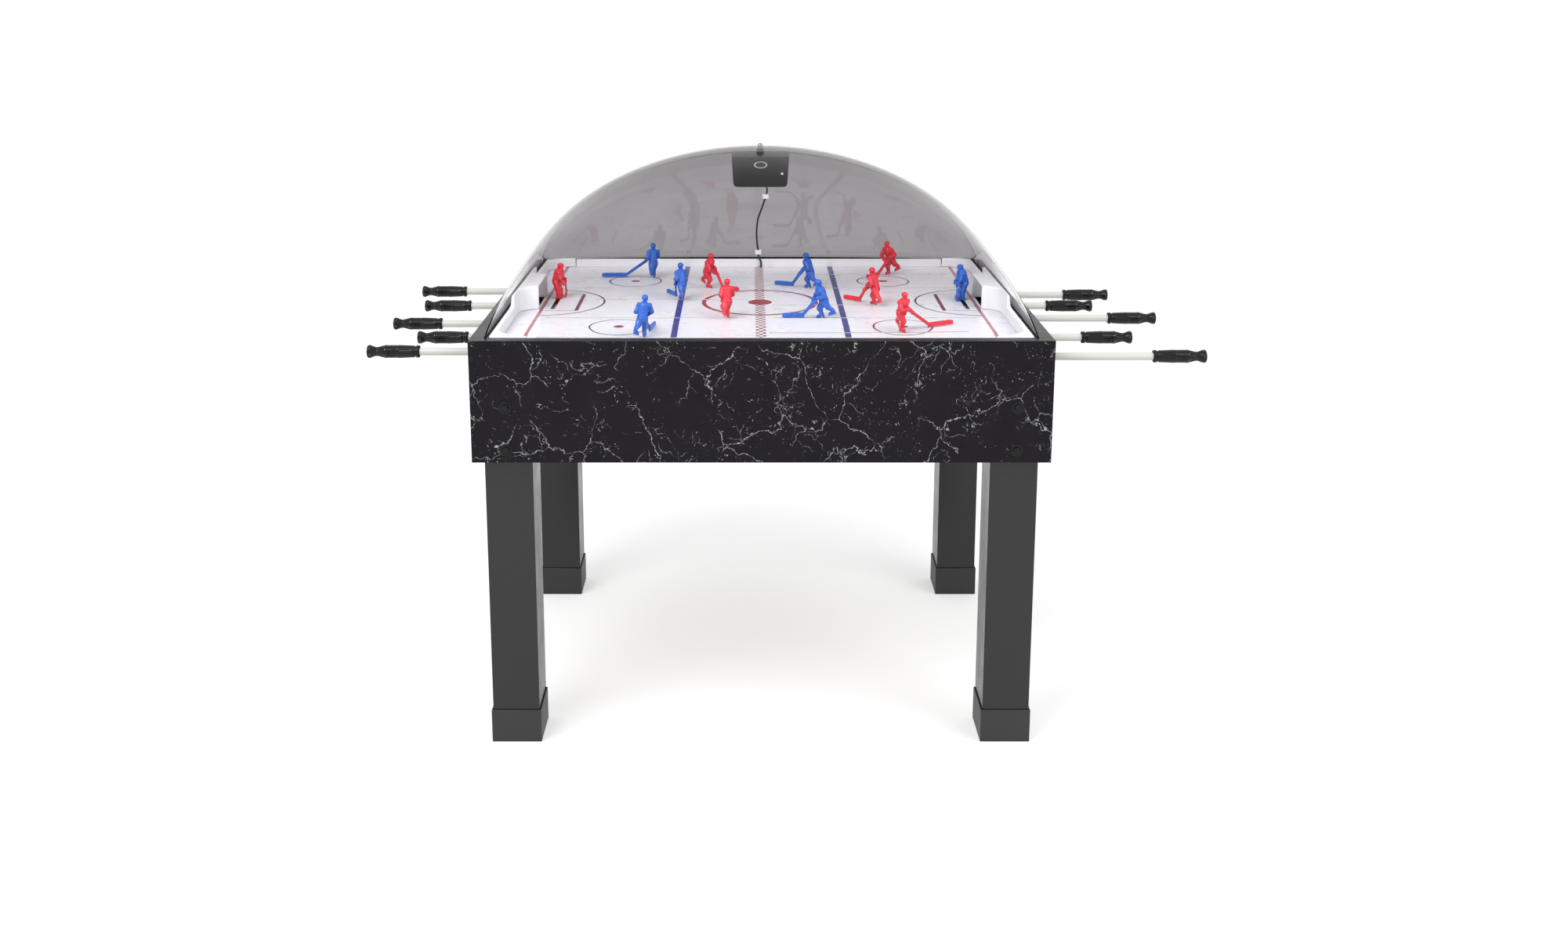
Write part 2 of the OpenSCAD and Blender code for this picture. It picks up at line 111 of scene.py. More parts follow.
def material(name):
    """A new material: itself, its shader and its object coordinates."""
    made = adjust(bpy.data.materials.new(name), use_nodes=True)
    tree = made.node_tree
    return made, tree.nodes["Principled BSDF"], tree.nodes.new("ShaderNodeTexCoord").outputs["Object"]


surround_light, floor_glow, floor_half = 0.66, 0.46, 60.0
white = (1.0, 1.0, 1.0, 1.0)
world = adjust(bpy.data.worlds.new("surround"), use_nodes=True)
scene.world = world
seen = times(seen_directly(world.node_tree), 1.0 - surround_light)
feed(world.node_tree.nodes["Background"], {"Color": white, "Strength": plus(seen, surround_light)})
floor_white, shader = material("floor white")[:2]
seen = times(seen_directly(shader.id_data), floor_glow)
feed(shader, {"Base Color": (0.8, 0.8, 0.8, 1.0), "Roughness": 0.9, "Specular IOR Level": 0.1,
              "Emission Color": white, "Emission Strength": seen})
floor_mesh = bpy.data.meshes.new("floor")
floor_corners = [(x * floor_half, y * floor_half, 0.0) for x, y in ((-1, -1), (1, -1), (1, 1), (-1, 1))]
floor_mesh.from_pydata(floor_corners, [], [(0, 1, 2, 3)])
floor_mesh.materials.append(floor_white)
floor = put("floor", floor_mesh)


def lamp(name, place, size, power):
    """A square soft lamp that points at the middle of the table."""
    obj = put(name, adjust(bpy.data.lights.new(name, "AREA"), size=size, energy=power))
    obj.location = place
    obj.rotation_euler = (Vector((0, 0, 0.7)) - Vector(place)).to_track_quat("-Z", "Y").to_euler()


lamp("key", (-2.2, -2.6, 4.0), 2.4, 85.0)
lamp("fill", (2.8, -2.0, 3.4), 2.4, 45.0)


# Aprons and end panels
# Boards faced with a black laminate printed as marble, with thin broken white veins and flecks.
# The aprons cover the ends of the panels. The inner faces are bare brown board.
def minus(a, b):
    """The difference of two values."""
    return maths("SUBTRACT", a, b)


def noise(vector, scale, detail=2.0, rough=0.5):
    """A noise texture's outputs, value and colour."""
    inputs = {"Vector": vector, "Scale": scale, "Detail": detail, "Roughness": rough}
    return add(vector.id_data, "ShaderNodeTexNoise", inputs)


def step(value, low, high, before=0.0, after=1.0):
    """Eases from one value to another as a third goes from low to high."""
    inputs = dict(enumerate((value, low, high, before, after)))
    return add(value.id_data, "ShaderNodeMapRange", inputs, interpolation_type="SMOOTHSTEP")[0]


def tint(factor, under, over):
    """Mixes two colours, each a socket or red, green and blue."""
    under, over = [c if isinstance(c, bpy.types.NodeSocket) else (*c, 1.0) for c in (under, over)]
    return add(factor.id_data, "ShaderNodeMix", {0: factor, 6: under, 7: over}, data_type="RGBA")[2]


def relief(height, depth):
    """A bump of that depth in metres."""
    inputs = {"Strength": 1.0, "Distance": depth, "Height": height}
    return add(height.id_data, "ShaderNodeBump", inputs)[0]


def axes_of(vector):
    """X, Y and Z of a vector."""
    return add(vector.id_data, "ShaderNodeSeparateXYZ", {0: vector})


def warped(vector, scale, amount):
    """Coordinates pushed about by noise."""
    inputs = {0: noise(vector, scale, 4.0, 0.6)[1], 1: (amount, amount, amount), 2: vector}
    return add(vector.id_data, "ShaderNodeVectorMath", inputs, operation="MULTIPLY_ADD")[0]


def cell_edge(vector, scale):
    """Distance to the edge of irregular cells."""
    inputs = {"Vector": vector, "Scale": scale}
    return add(vector.id_data, "ShaderNodeTexVoronoi", inputs, feature="DISTANCE_TO_EDGE")["Distance"]


def dress(shader, colour, rough, normal):
    """Gives a shader its colour, roughness and normal."""
    feed(shader, {"Base Color": colour, "Roughness": rough, "Normal": normal})


def as_mesh(name, shape):
    """A mesh from a bmesh, which is freed."""
    mesh = bpy.data.meshes.new(name)
    shape.to_mesh(mesh)
    shape.free()
    return mesh


same_point, sharp = 0.000002, radians(40)


def soften(node, width, longer=0.0, above=-1.0, below=9.0, rounds=2):
    """A copy of a CAD node's mesh, with long sharp edges rounded between two heights."""
    shape = bmesh.new()
    shape.from_mesh(nodes[node].data)
    bmesh.ops.remove_doubles(shape, verts=shape.verts, dist=same_point)
    bmesh.ops.dissolve_limit(shape, angle_limit=radians(1), verts=shape.verts, edges=shape.edges)
    eased = [e for e in shape.edges if e.is_manifold and e.calc_face_angle() > sharp]
    eased = [e for e in eased if e.calc_length() > longer and max(v.co.z for v in e.verts) > above]
    eased = [e for e in eased if min(v.co.z for v in e.verts) < below]
    made = bmesh.ops.bevel(shape, geom=eased, offset=width, segments=rounds, profile=0.5, affect="EDGES")
    rounded = set(made["faces"])
    for face in shape.faces:
        face.smooth = face in rounded
    return as_mesh(node, shape)


def piece(name, mesh, finish, body, slot, *stands_for):
    """Puts a mesh in the scene as a piece that rides on a body and stands for CAD nodes."""
    obj = put(name, mesh)
    if finish:
        mesh.materials.clear()
        mesh.materials.append(finish)
    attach(obj, body)
    if stands_for:
        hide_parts(*stands_for)
    return obj


half_l, half_w, panel, hair = 0.5335, 0.405, 0.02, 0.0002
marble, shader, place = material("marble laminate")
ragged = warped(warped(warped(place, 7.0, 0.11), 60.0, 0.014), 240.0, 0.0035)
patchy = noise(place, 13.0, 3.0)[0]
crumbs = noise(place, 330.0, 2.0, 0.7)[0]
vein_long = times(step(cell_edge(ragged, 8.0), 0.0, 0.0075, 1.0, 0.0), step(patchy, 0.43, 0.52))
vein_fine = times(step(cell_edge(ragged, 20.0), 0.0, 0.012, 1.0, 0.0), step(patchy, 0.56, 0.62))
curled = maths("ABSOLUTE", minus(noise(ragged, 46.0, 1.0)[0], 0.5))
curls = times(step(curled, 0.0, 0.010, 1.0, 0.0), step(noise(place, 31.0, 1.0)[0], 0.60, 0.64))
veins = maths("MAXIMUM", maths("MAXIMUM", vein_long, vein_fine), curls)
veins = times(veins, step(crumbs, 0.38, 0.60, 0.15, 1.0))
flecks = times(step(noise(ragged, 260.0, 1.0)[0], 0.70, 0.76), step(noise(place, 17.0, 2.0)[0], 0.46, 0.60))
veins = maths("MAXIMUM", veins, flecks)
clouds = noise(place, 24.0, 6.0, 0.65)[0]
ground = tint(clouds, (0.003, 0.002, 0.004), (0.012, 0.010, 0.014))
faced = tint(veins, ground, (0.56, 0.55, 0.56))
axes = axes_of(place)
within_x = maths("LESS_THAN", maths("ABSOLUTE", axes["X"]), half_l - panel + hair)
within_y = maths("LESS_THAN", maths("ABSOLUTE", axes["Y"]), half_w - panel + hair)
inside = times(within_x, within_y)
bare_board = tint(crumbs, (0.20, 0.12, 0.065), (0.34, 0.23, 0.14))
gloss = plus(step(crumbs, 0.2, 0.8, 0.40, 0.50), times(inside, 0.4))
dress(shader, tint(inside, faced, bare_board), gloss, relief(crumbs, 0.00003))
feed(shader, {"Specular IOR Level": 0.15})
board_edge, board_top, board_lip = 0.0006, 0.787, 0.001
for name in ("aprons", "end_panels"):
    board = soften(name, board_edge, longer=0.15, below=board_top - board_lip)
    piece(name + "_faced", board, marble, "table", "marble_laminate", name)


# Legs
# Square posts in plain black laminate with a soft shine, bolted through the aprons and end panels.
# The laminate shows a faint grain and a few handling marks.
def group_of(name, kind, inputs, outputs):
    """A group of nodes and what it is given. Its sockets are pairs of a name and a kind."""
    group = bpy.data.node_groups.new(name, kind)
    for way, pairs in (("INPUT", inputs), ("OUTPUT", outputs)):
        for label, sort in pairs:
            group.interface.new_socket(label, in_out=way, socket_type="NodeSocket" + sort)
    return group, group.nodes.new("NodeGroupInput").outputs


def surface_grain_tree():
    """Fine grain over broad patches of wear, for roughness, colour and relief."""
    inputs = [("Vector", "Vector")] + [(name, "Float") for name in ("Grain", "Roughness", "Spread", "Depth")]
    outputs = [("Roughness", "Float"), ("Tone", "Float"), ("Normal", "Vector")]
    group, given = group_of("surface grain", "ShaderNodeTree", inputs, outputs)
    fine = noise(given["Vector"], given["Grain"], 3.0, 0.6)[0]
    broad = noise(given["Vector"], 14.0, 5.0, 0.65)[0]
    swing = times(minus(plus(times(fine, 0.5), broad), 0.75), given["Spread"])
    add(group, "NodeGroupOutput", {"Roughness": plus(swing, given["Roughness"], clamp=True), "Tone": broad,
                                   "Normal": relief(fine, given["Depth"])})
    return group


surface_grain = surface_grain_tree()


def grain(place, size, roughness, spread, depth):
    """The shared grain with this material's own values: roughness, tone and normal."""
    inputs = {"Vector": place, "Grain": size, "Roughness": roughness, "Spread": spread, "Depth": depth}
    made = add(place.id_data, "ShaderNodeGroup", inputs, node_tree=surface_grain)
    return made["Roughness"], made["Tone"], made["Normal"]


def moulded(name, dark, light, roughness, size=900.0, spread=0.25, depth=0.00002, shine=0.5, metal=0.0):
    """A plain moulded, painted or metal finish between two close colours."""
    made, shader, place = material(name)
    rough, tone, normal = grain(place, size, roughness, spread, depth)
    dress(shader, tint(tone, dark, light), rough, normal)
    feed(shader, {"Specular IOR Level": shine, "Metallic": metal})
    return made


def grey(level):
    """A grey with a touch more blue."""
    return level, level, level + 0.001


leg_black = moulded("leg laminate", grey(0.006), (0.013, 0.012, 0.013), 0.30, 420.0, 0.3, 0.00003)
leg_edge = 0.0008
piece("legs_faced", soften("legs", leg_edge, longer=0.05), leg_black, "table", "black_laminate", "legs")


# Leg boots
# Square caps of black moulded plastic that the legs stand in, a little wider than the legs.
# Their corners are rounded, and their faces carry a coarse grain with pale scuffs from the floor.
boot_black, shader, place = material("boot plastic")
rough, tone, normal = grain(place, 1300.0, 0.5, 0.3, 0.00005)
scuffs = noise(place, 240.0, 4.0, 0.7)[0]
scuffs = times(step(scuffs, 0.62, 0.72), step(tone, 0.5, 0.65))
scuffed = tint(scuffs, tint(tone, grey(0.018), grey(0.032)), (0.09, 0.09, 0.09))
dress(shader, scuffed, rough, normal)
boot_edge = 0.0012
boots = soften("leg_boots", boot_edge, longer=0.02)
piece("leg_boots_moulded", boots, boot_black, "table", "black_plastic", "leg_boots")


# Leg bolts and apron screws
# Black hex bolts on round washers hold the legs, two through each board at each corner.
# Smaller round-headed screws hold the aprons to the panels and to the frame behind.
def finished(name, shape, crease):
    """A smooth-shaded mesh, with edges beyond the crease angle kept sharp."""
    mesh = as_mesh(name, shape)
    mesh.shade_smooth()
    mesh.set_sharp_from_angle(angle=radians(crease))
    return mesh


def skin(shape, rings, capped=False):
    """Faces from each ring of points to the next, and over the ends. A ring may be a single point."""
    turns = max(len(ring) for ring in rings)
    for low, high in zip(rings, rings[1:]):
        for k in range(turns):
            n = k + 1
            corners = (low[k % len(low)], low[n % len(low)], high[n % len(high)], high[k % len(high)])
            shape.faces.new(list(dict.fromkeys(corners)))
    if capped:
        shape.faces.new(rings[0])
        shape.faces.new(rings[-1])
        bmesh.ops.recalc_face_normals(shape, faces=shape.faces)


def lathe(name, profile, turns=32):
    """A closed shape turned round Z from (radius, height) points."""
    shape = bmesh.new()
    rings = []
    for radius, height in profile:
        angles = [2 * pi * k / turns for k in range(turns if radius else 1)]
        rings.append([shape.verts.new((radius * cos(a), radius * sin(a), height)) for a in angles])
    skin(shape, rings)
    bmesh.ops.remove_doubles(shape, verts=shape.verts, dist=0.0000001)
    bmesh.ops.recalc_face_normals(shape, faces=shape.faces)
    return finished(name, shape, crease=35)


def joined(name, *meshes):
    """Several meshes as one, keeping their sharp edges."""
    shape = bmesh.new()
    for mesh in meshes:
        shape.from_mesh(mesh)
    return as_mesh(name, shape)


def fixings_tree():
    """Geometry Nodes: one fixing at each place, pointing outwards, each turned by chance."""
    inputs = [("Places", "Geometry"), ("Fixing", "Object"), ("Finish", "Material"), ("Chance", "Int")]
    tree, given = group_of("fixings", "GeometryNodeTree", inputs, [("Fixings", "Geometry")])
    outward = add(tree, "GeometryNodeInputNamedAttribute", {"Name": "outward"}, data_type="FLOAT_VECTOR")
    aim = add(tree, "FunctionNodeAlignRotationToVector", {"Vector": outward["Attribute"]}, axis="Z")
    chance = add(tree, "FunctionNodeRandomValue", {3: 2 * pi, "Seed": given["Chance"]}, data_type="FLOAT")
    spin = {"Axis": (0, 0, 1), "Angle": chance[1]}
    turns = {0: aim[0], 1: add(tree, "FunctionNodeAxisAngleToRotation", spin)[0]}
    turned = add(tree, "FunctionNodeRotateRotation", turns, rotation_space="LOCAL")
    source = add(tree, "GeometryNodeObjectInfo", {"Object": given["Fixing"]})["Geometry"]
    spread = {"Points": given["Places"], "Instance": source, "Rotation": turned[0]}
    end_tree(add(tree, "GeometryNodeInstanceOnPoints", spread)[0], given["Finish"])
    return tree


def end_tree(geometry, finish, second_finish=None, where=True):
    """Ends a tree of Geometry Nodes in real mesh with its finish, and a second finish somewhere on it."""
    tree = geometry.id_data
    last = add(tree, "GeometryNodeRealizeInstances", {0: geometry})[0]
    for part, given in ((True, finish), (where, second_finish)):
        if given:
            coated = {"Geometry": last, "Selection": part, "Material": given}
            last = add(tree, "GeometryNodeSetMaterial", coated)[0]
    add(tree, "NodeGroupOutput", {0: last})


def settled(obj):
    """The mesh of an object after its modifiers. The object itself is removed."""
    mesh = bpy.data.meshes.new_from_object(obj.evaluated_get(bpy.context.evaluated_depsgraph_get()))
    bpy.data.objects.remove(obj)
    return mesh


def grown(obj, tree, **values):
    """Runs a tree of Geometry Nodes on an object and gives back a plain mesh."""
    modifier = adjust(obj.modifiers.new(tree.name, "NODES"), node_group=tree)
    for item in tree.interface.items_tree:
        label = item.name.replace(" ", "_")
        if item.in_out == "INPUT" and label in values:
            modifier[item.identifier] = values[label]
    return settled(obj)


fixings = fixings_tree()


def fix(name, mesh, places, finish, chance):
    """A plain mesh with one fixing at each place, given as a point and the way it points."""
    spots = bpy.data.meshes.new(name)
    spots.from_pydata([p for p, way in places], [], [])
    outward = spots.attributes.new("outward", "FLOAT_VECTOR", "POINT")
    for value, (p, way) in zip(outward.data, places):
        value.vector = way
    one = put(name + ".one", mesh)
    result = grown(put(name, spots), fixings, Fixing=one, Finish=finish, Chance=chance)
    bpy.data.objects.remove(one)
    return result


leg_x, leg_y = 0.469, 0.3405
bolt_zs = (0.592, 0.673)
apron_low, apron_high = 0.568, 0.219
bolt_black = moulded("blackened steel", grey(0.004), grey(0.010), 0.4, 1500.0, 0.3, 0.00003, 0.25)
washer = [(0, -0.02), (0.004, -0.02), (0.004, 0.0), (0.0118, 0.0), (0.012, 0.0004), (0.0117, 0.0014)]
washer += [(0.0106, 0.0021), (0.0085, 0.0022), (0, 0.0022)]
bolt_hex = [(0, 0.0018), (0.0075, 0.0018), (0.0075, 0.0062), (0.0064, 0.0074), (0.0052, 0.00745), (0, 0.0069)]
leg_bolt = joined("leg_bolt", lathe("washer", washer), lathe("bolt_hex", bolt_hex, turns=6))
bolt_places, screw_places = [], []
edge_x, edge_shares, middle_x, middle_share = half_l - 0.007, (0.15, 0.52, 0.9), 0.164, 0.605
screws_at = [(s * edge_x, apron_low + f * apron_high) for s in (-1, 1) for f in edge_shares]
screws_at += [(x, apron_low + middle_share * apron_high) for x in (-leg_x, -middle_x, middle_x, leg_x)]
for side in (-1, 1):
    for end in (-1, 1):
        for z in bolt_zs:
            bolt_places.append(((end * leg_x, side * half_w, z), (0, side, 0)))
            bolt_places.append(((side * half_l, end * leg_y, z), (side, 0, 0)))
    screw_places += [((x, side * half_w, z), (0, side, 0)) for x, z in screws_at]
bolts = fix("leg_bolts", leg_bolt, bolt_places, bolt_black, chance=3)
piece("leg_bolts_turned", bolts, None, "table", "black_steel", "leg_bolts")
screw = [(0, -0.012), (0.0018, -0.012), (0.0018, 0.0), (0.004, 0.0), (0.0039, 0.0006), (0.0034, 0.0012)]
screw += [(0.0024, 0.00155), (0.0017, 0.0016), (0.0016, 0.0008), (0, 0.0007)]
screws = fix("apron_screws", lathe("screw", screw, turns=20), screw_places, bolt_black, chance=5)
piece("apron_screws_turned", screws, None, "table", "black_steel", "apron_screws")


# Cleats
# Sawn softwood strips along the inside of the box, which the playfield lies on.
# They are left bare, with the grain running along each strip.
bare_wood, shader, place = material("bare softwood")
stretched = {"Scale": (4.0, 30.0, 60.0), "Vector": warped(place, 5.0, 0.02)}
rings = noise(add(place.id_data, "ShaderNodeMapping", stretched)[0], 3.0, 4.0, 0.6)[0]
colour = tint(rings, (0.40, 0.24, 0.11), (0.68, 0.50, 0.29))
dress(shader, colour, step(rings, 0.2, 0.8, 0.65, 0.85), relief(rings, 0.0002))


def coat(node, finish):
    """Gives a CAD node a finish."""
    nodes[node].data.materials.clear()
    nodes[node].data.materials.append(finish)


coat("cleats", bare_wood)


# Playfield
# A hard board with a printed white face, slotted for the players' spindles and the goalies' pegs.
# The print has the usual rink lines and rings. The lower face is bare brown board.
rink_z = 0.78
goal_line, goal_line_half = 0.447, 0.0035
blue_line, blue_line_half = 0.166, 0.006
centre_half, check_wide, check_long = 0.010, 0.0067, 0.010
centre_ring, centre_ring_half, centre_inner, centre_dot = 0.118, 0.0032, 0.1135, 0.025
spot_x, spot_y, spot_ring, spot_ring_half, spot_dot = 0.276, 0.215, 0.057, 0.0018, 0.010
crease_ring, crease_ring_half = 0.122, 0.0022
crease_front, crease_front_half, crease_y, crease_side_half = 0.375, 0.0038, 0.078, 0.001
print_red = (0.30, 0.022, 0.045)
print_maroon = (0.15, 0.016, 0.030)
print_dark = (0.055, 0.045, 0.070)
print_blue = (0.035, 0.036, 0.20)
rink_print, shader, place = material("rink print")
axes = axes_of(place)
from_middle = maths("ABSOLUTE", axes["X"])
from_axis = maths("ABSOLUTE", axes["Y"])
print_blur = 0.0004


def line(value, middle, half):
    """A printed line where a value is within half of its middle."""
    off = maths("ABSOLUTE", minus(value, middle))
    return step(off, half - print_blur, half + print_blur, 1.0, 0.0)


def distance(x, y):
    """Distance in plan from a point and its three mirror images."""
    dx = minus(from_middle, x)
    dy = minus(from_axis, y)
    return maths("SQRT", plus(times(dx, dx), times(dy, dy)))


to_centre = distance(0.0, 0.0)
to_spot = distance(spot_x, spot_y)
to_goal = distance(goal_line, 0.0)
in_rink = maths("LESS_THAN", from_middle, goal_line)
check_x = maths("DIVIDE", plus(axes["X"], check_wide / 2), check_wide)
check_at = {"X": check_x, "Y": maths("DIVIDE", axes["Y"], check_long), "Z": 0.5}
check_at = add(place.id_data, "ShaderNodeCombineXYZ", check_at)[0]
checks = add(place.id_data, "ShaderNodeTexChecker", {"Vector": check_at, "Scale": 1.0})["Fac"]
past_front = maths("GREATER_THAN", from_middle, crease_front)
crease_sides = times(line(from_axis, crease_y, crease_side_half), past_front)
marks = (
    (times(line(from_middle, 0.0, centre_half), checks), (0.27, 0.09, 0.115)),
    (line(from_middle, blue_line, blue_line_half), print_blue),
    (line(from_middle, goal_line, goal_line_half), (0.38, 0.12, 0.16)),
    (times(line(to_goal, crease_ring, crease_ring_half), in_rink), print_dark),
    (times(crease_sides, in_rink), print_dark),
    (times(line(from_middle, crease_front, crease_front_half), line(from_axis, 0.0, crease_y)), print_maroon),
    (line(to_spot, spot_ring, spot_ring_half), print_dark),
    (line(to_spot, 0.0, spot_dot), print_red),
    (line(to_centre, centre_inner, 0.001), print_dark),
    (line(to_centre, centre_ring, centre_ring_half), print_red),
    (line(to_centre, 0.0, centre_dot), print_red),
)
rough, tone, normal = grain(place, 700.0, 0.28, 0.06, 0.000004)
colour = tint(tone, (0.70, 0.69, 0.73), (0.73, 0.72, 0.76))
for mark, ink in marks:
    colour = tint(mark, colour, ink)
cut = maths("LESS_THAN", axes["Z"], rink_z - hair)
mouth_x, mouth_half, printed = 0.4195, 0.07, 0.0088
# Painted shade: the board's faces below its top inside the goal mouths are near-black, for the shade in the
# goal pocket.
pocket_shade = times(cut, maths("GREATER_THAN", from_middle, mouth_x))
pocket_shade = times(pocket_shade, maths("LESS_THAN", from_axis, mouth_half))
colour = tint(cut, colour, (0.55, 0.54, 0.56))
colour = tint(pocket_shade, colour, (0.015, 0.015, 0.017))
lower = maths("LESS_THAN", axes["Z"], rink_z - printed)
board_brown = tint(tone, (0.20, 0.11, 0.055), (0.30, 0.18, 0.09))
dress(shader, tint(lower, colour, board_brown), plus(rough, times(lower, 0.5), clamp=True), normal)
coat("playfield", rink_print)


# Goal cups
# Shallow black moulded trays under the goal mouths, fixed to the lower face of the playfield.
# They catch the puck, and their black floor shows through the mouth.
cup_black = moulded("cup plastic", grey(0.010), grey(0.020), 0.5, 1100.0, 0.3, 0.00004)
coat("goal_cups", cup_black)


# Side boards and end boards
# White moulded plastic round the rink: thin liners at the sides, and deep ends with rounded corners.
# Each end piece carries its goal housing in one moulding, with all upper edges well rounded.
def melted(name, shape, grain_size, passes, share):
    """Melts overlapping shapes in millimetres into one smooth skin in metres."""
    obj = put(name, as_mesh(name, shape))
    adjust(obj.modifiers.new("melt", "REMESH"), mode="VOXEL", voxel_size=grain_size)
    adjust(obj.modifiers.new("ease", "SMOOTH"), factor=0.5, iterations=passes)
    adjust(obj.modifiers.new("thin", "DECIMATE"), ratio=share)
    mesh = settled(obj)
    mesh.transform(Matrix.Scale(0.001, 4))
    mesh.shade_smooth()
    return mesh


white_plastic = moulded("white moulding", (0.74, 0.74, 0.76), (0.82, 0.82, 0.84), 0.3, 800.0, 0.2, 0.00002)
liner_edge = 0.0008
liners = soften("side_boards", liner_edge, longer=0.01)
piece("side_boards_moulded", liners, white_plastic, "table", "white_plastic", "side_boards")
ends = bmesh.new()
ends.from_mesh(nodes["end_boards"].data)
bmesh.ops.remove_doubles(ends, verts=ends.verts, dist=same_point)
bmesh.ops.scale(ends, vec=(1000, 1000, 1000), verts=ends.verts)
ends = melted("end_boards", ends, grain_size=1.6, passes=4, share=0.6)
shape = bmesh.new()
shape.from_mesh(ends)
end_foot, end_rounds = 0.007, 16
upper = [v for v in shape.verts if v.co.z > rink_z + end_foot]
for turn in range(end_rounds):
    bmesh.ops.smooth_vert(shape, verts=upper, factor=0.5, use_axis_x=True, use_axis_y=True, use_axis_z=True)
shape.to_mesh(ends)
shape.free()
piece("end_boards_moulded", ends, white_plastic, "table", "white_plastic", "end_boards")


# Top rails
# Strips that cap the table's box, in satin black plastic, with a groove on top for the dome's foot.
# Their outer faces are flush with the boards and carry on the boards' marble laminate.
rail_black = moulded("rail plastic", grey(0.007), grey(0.013), 0.36, 1000.0, 0.2, 0.00002, 0.35)
rail_edge, rail_lip, flush, steep = 0.0008, 0.003, 0.0001, 0.1
rails = soften("top_rails", rail_edge, longer=0.02, above=board_top + rail_lip)
piece("top_rails_eased", rails, rail_black, "table", "black_laminate", "top_rails")
rails.materials.append(marble)
for face in rails.polygons:
    outer = max(abs(face.center.x) - half_l, abs(face.center.y) - half_w)
    face.material_index = 1 if outer > -flush and abs(face.normal.z) < steep else 0


# Carriages and rods
# A steel bracket under the board bears each spindle, and a bevel gear on the rod turns it.
# The rods are tubes in cream enamel that run out through the end panels.
zinc_dark, zinc_light = (0.48, 0.48, 0.49), (0.66, 0.66, 0.66)
carriage_steel = moulded("zinc steel", zinc_dark, zinc_light, 0.38, 300.0, 0.4, 0.00003, metal=1.0)
rod_cream = moulded("rod enamel", (0.74, 0.74, 0.69), (0.80, 0.80, 0.76), 0.24, 500.0, 0.2, 0.00001)
rod_z = 0.74
# Each unit: name, end of the handle, lane, spindle at rest, rod length, way of the stick, reach of the stick
units = (
    ("red_front_wing", -1, -0.254, 0.269, 1.025, 26, 118),
    ("red_front_defence", -1, -0.142, -0.065, 0.619, 101, 79),
    ("red_centre", -1, -0.025, 0.237, 0.997, 139, 79),
    ("red_back_defence", -1, 0.142, -0.112, 0.619, -32, 79),
    ("red_back_wing", -1, 0.290, 0.296, 1.065, 226, 79),
    ("blue_front_wing", 1, -0.290, -0.221, 1.065, 78, 79),
    ("blue_front_defence", 1, -0.142, 0.122, 0.619, 183, 79),
    ("blue_centre", 1, 0.025, -0.163, 0.997, 120, 70),
    ("blue_back_defence", 1, 0.142, 0.108, 0.619, 159, 79),
    ("blue_back_wing", 1, 0.254, -0.237, 1.025, 180, 118),
)
for unit, *rest in units:
    coat(unit + "_carriage", carriage_steel)
    coat(unit + "_rod", rod_cream)


# Rod bushings
# Turned black nylon collars pressed into the end panels, which the rods slide and turn in.
# The flange is rounded and stands a few millimetres proud.
bush_black = moulded("bush nylon", grey(0.010), grey(0.018), 0.42, 1200.0, 0.2, 0.00002)
bush_bore, bush_sleeve, bush_flange = 0.00756, 0.0105, 0.015
bush = [(bush_bore, -panel), (bush_sleeve, -panel), (bush_sleeve, 0.0), (bush_flange, 0.0)]
bush += [(bush_flange, 0.0022), (0.0145, 0.0034), (0.0135, 0.004), (0.0092, 0.004), (0.0082, 0.0036)]
bush += [(bush_bore, 0.0026)]
bush_places = [((side * half_l, lane, rod_z), (side, 0, 0)) for unit, side, lane, *rest in units]
bushings = fix("rod_bushings", lathe("bush", bush + bush[:1], turns=40), bush_places, bush_black, chance=1)
piece("rod_bushings_turned", bushings, None, "table", "black_plastic", "rod_bushings")


# Handles
# Gloss black grips on the rods' outer ends: collar, fluted barrel, ribs, scalloped waist and knob.
# Rows of small bright pins stand at the waist and round the knob.
handle_l, handle_turns, handle_rows = 0.101, 64, 150
# Share of the handle's length from the rod, and radius there in millimetres
handle_outline = (
    (0.0, 9.5), (0.004, 11.2), (0.02, 12.0), (0.06, 12.1), (0.075, 10.6), (0.10, 10.6), (0.115, 11.6),
    (0.16, 11.8), (0.38, 12.7), (0.415, 12.7), (0.43, 11.8), (0.62, 11.8), (0.635, 12.8), (0.66, 12.7),
    (0.72, 11.0), (0.78, 9.3), (0.82, 8.8), (0.86, 9.4), (0.93, 12.2), (0.96, 12.9), (0.985, 12.4),
    (0.997, 10.8), (1.0, 9.0),
)
rib_low, rib_high, rib_count, rib_depth = 0.43, 0.625, 6, 0.9
flute_count, flute_depth, scallop_count, scallop_depth = 14, 0.7, 6, 2.0


def smooth(low, high, value):
    """0 below low, 1 above high and eased between."""
    t = min(1.0, max(0.0, (value - low) / (high - low)))
    return t * t * (3 - 2 * t)


def handle_radius(share, angle):
    """Radius of the grip at a share of its length and an angle round it."""
    for (s0, r0), (s1, r1) in zip(handle_outline, handle_outline[1:]):
        if share <= s1:
            radius = r0 + (r1 - r0) * (share - s0) / (s1 - s0)
            break
    if rib_low < share < rib_high:
        wave = 0.5 - 0.5 * cos(2 * pi * rib_count * (share - rib_low) / (rib_high - rib_low))
        radius += rib_depth * wave ** 0.6
    along = smooth(0.13, 0.18, share) * (1 - smooth(0.37, 0.41, share))
    radius -= flute_depth * along * (0.5 - 0.5 * cos(flute_count * angle)) ** 3
    point = smooth(0.65, 0.72, share) * (1 - smooth(0.74, 0.86, share))
    radius -= scallop_depth * point * max(0.0, cos(scallop_count * angle)) ** 1.2
    return radius / 1000


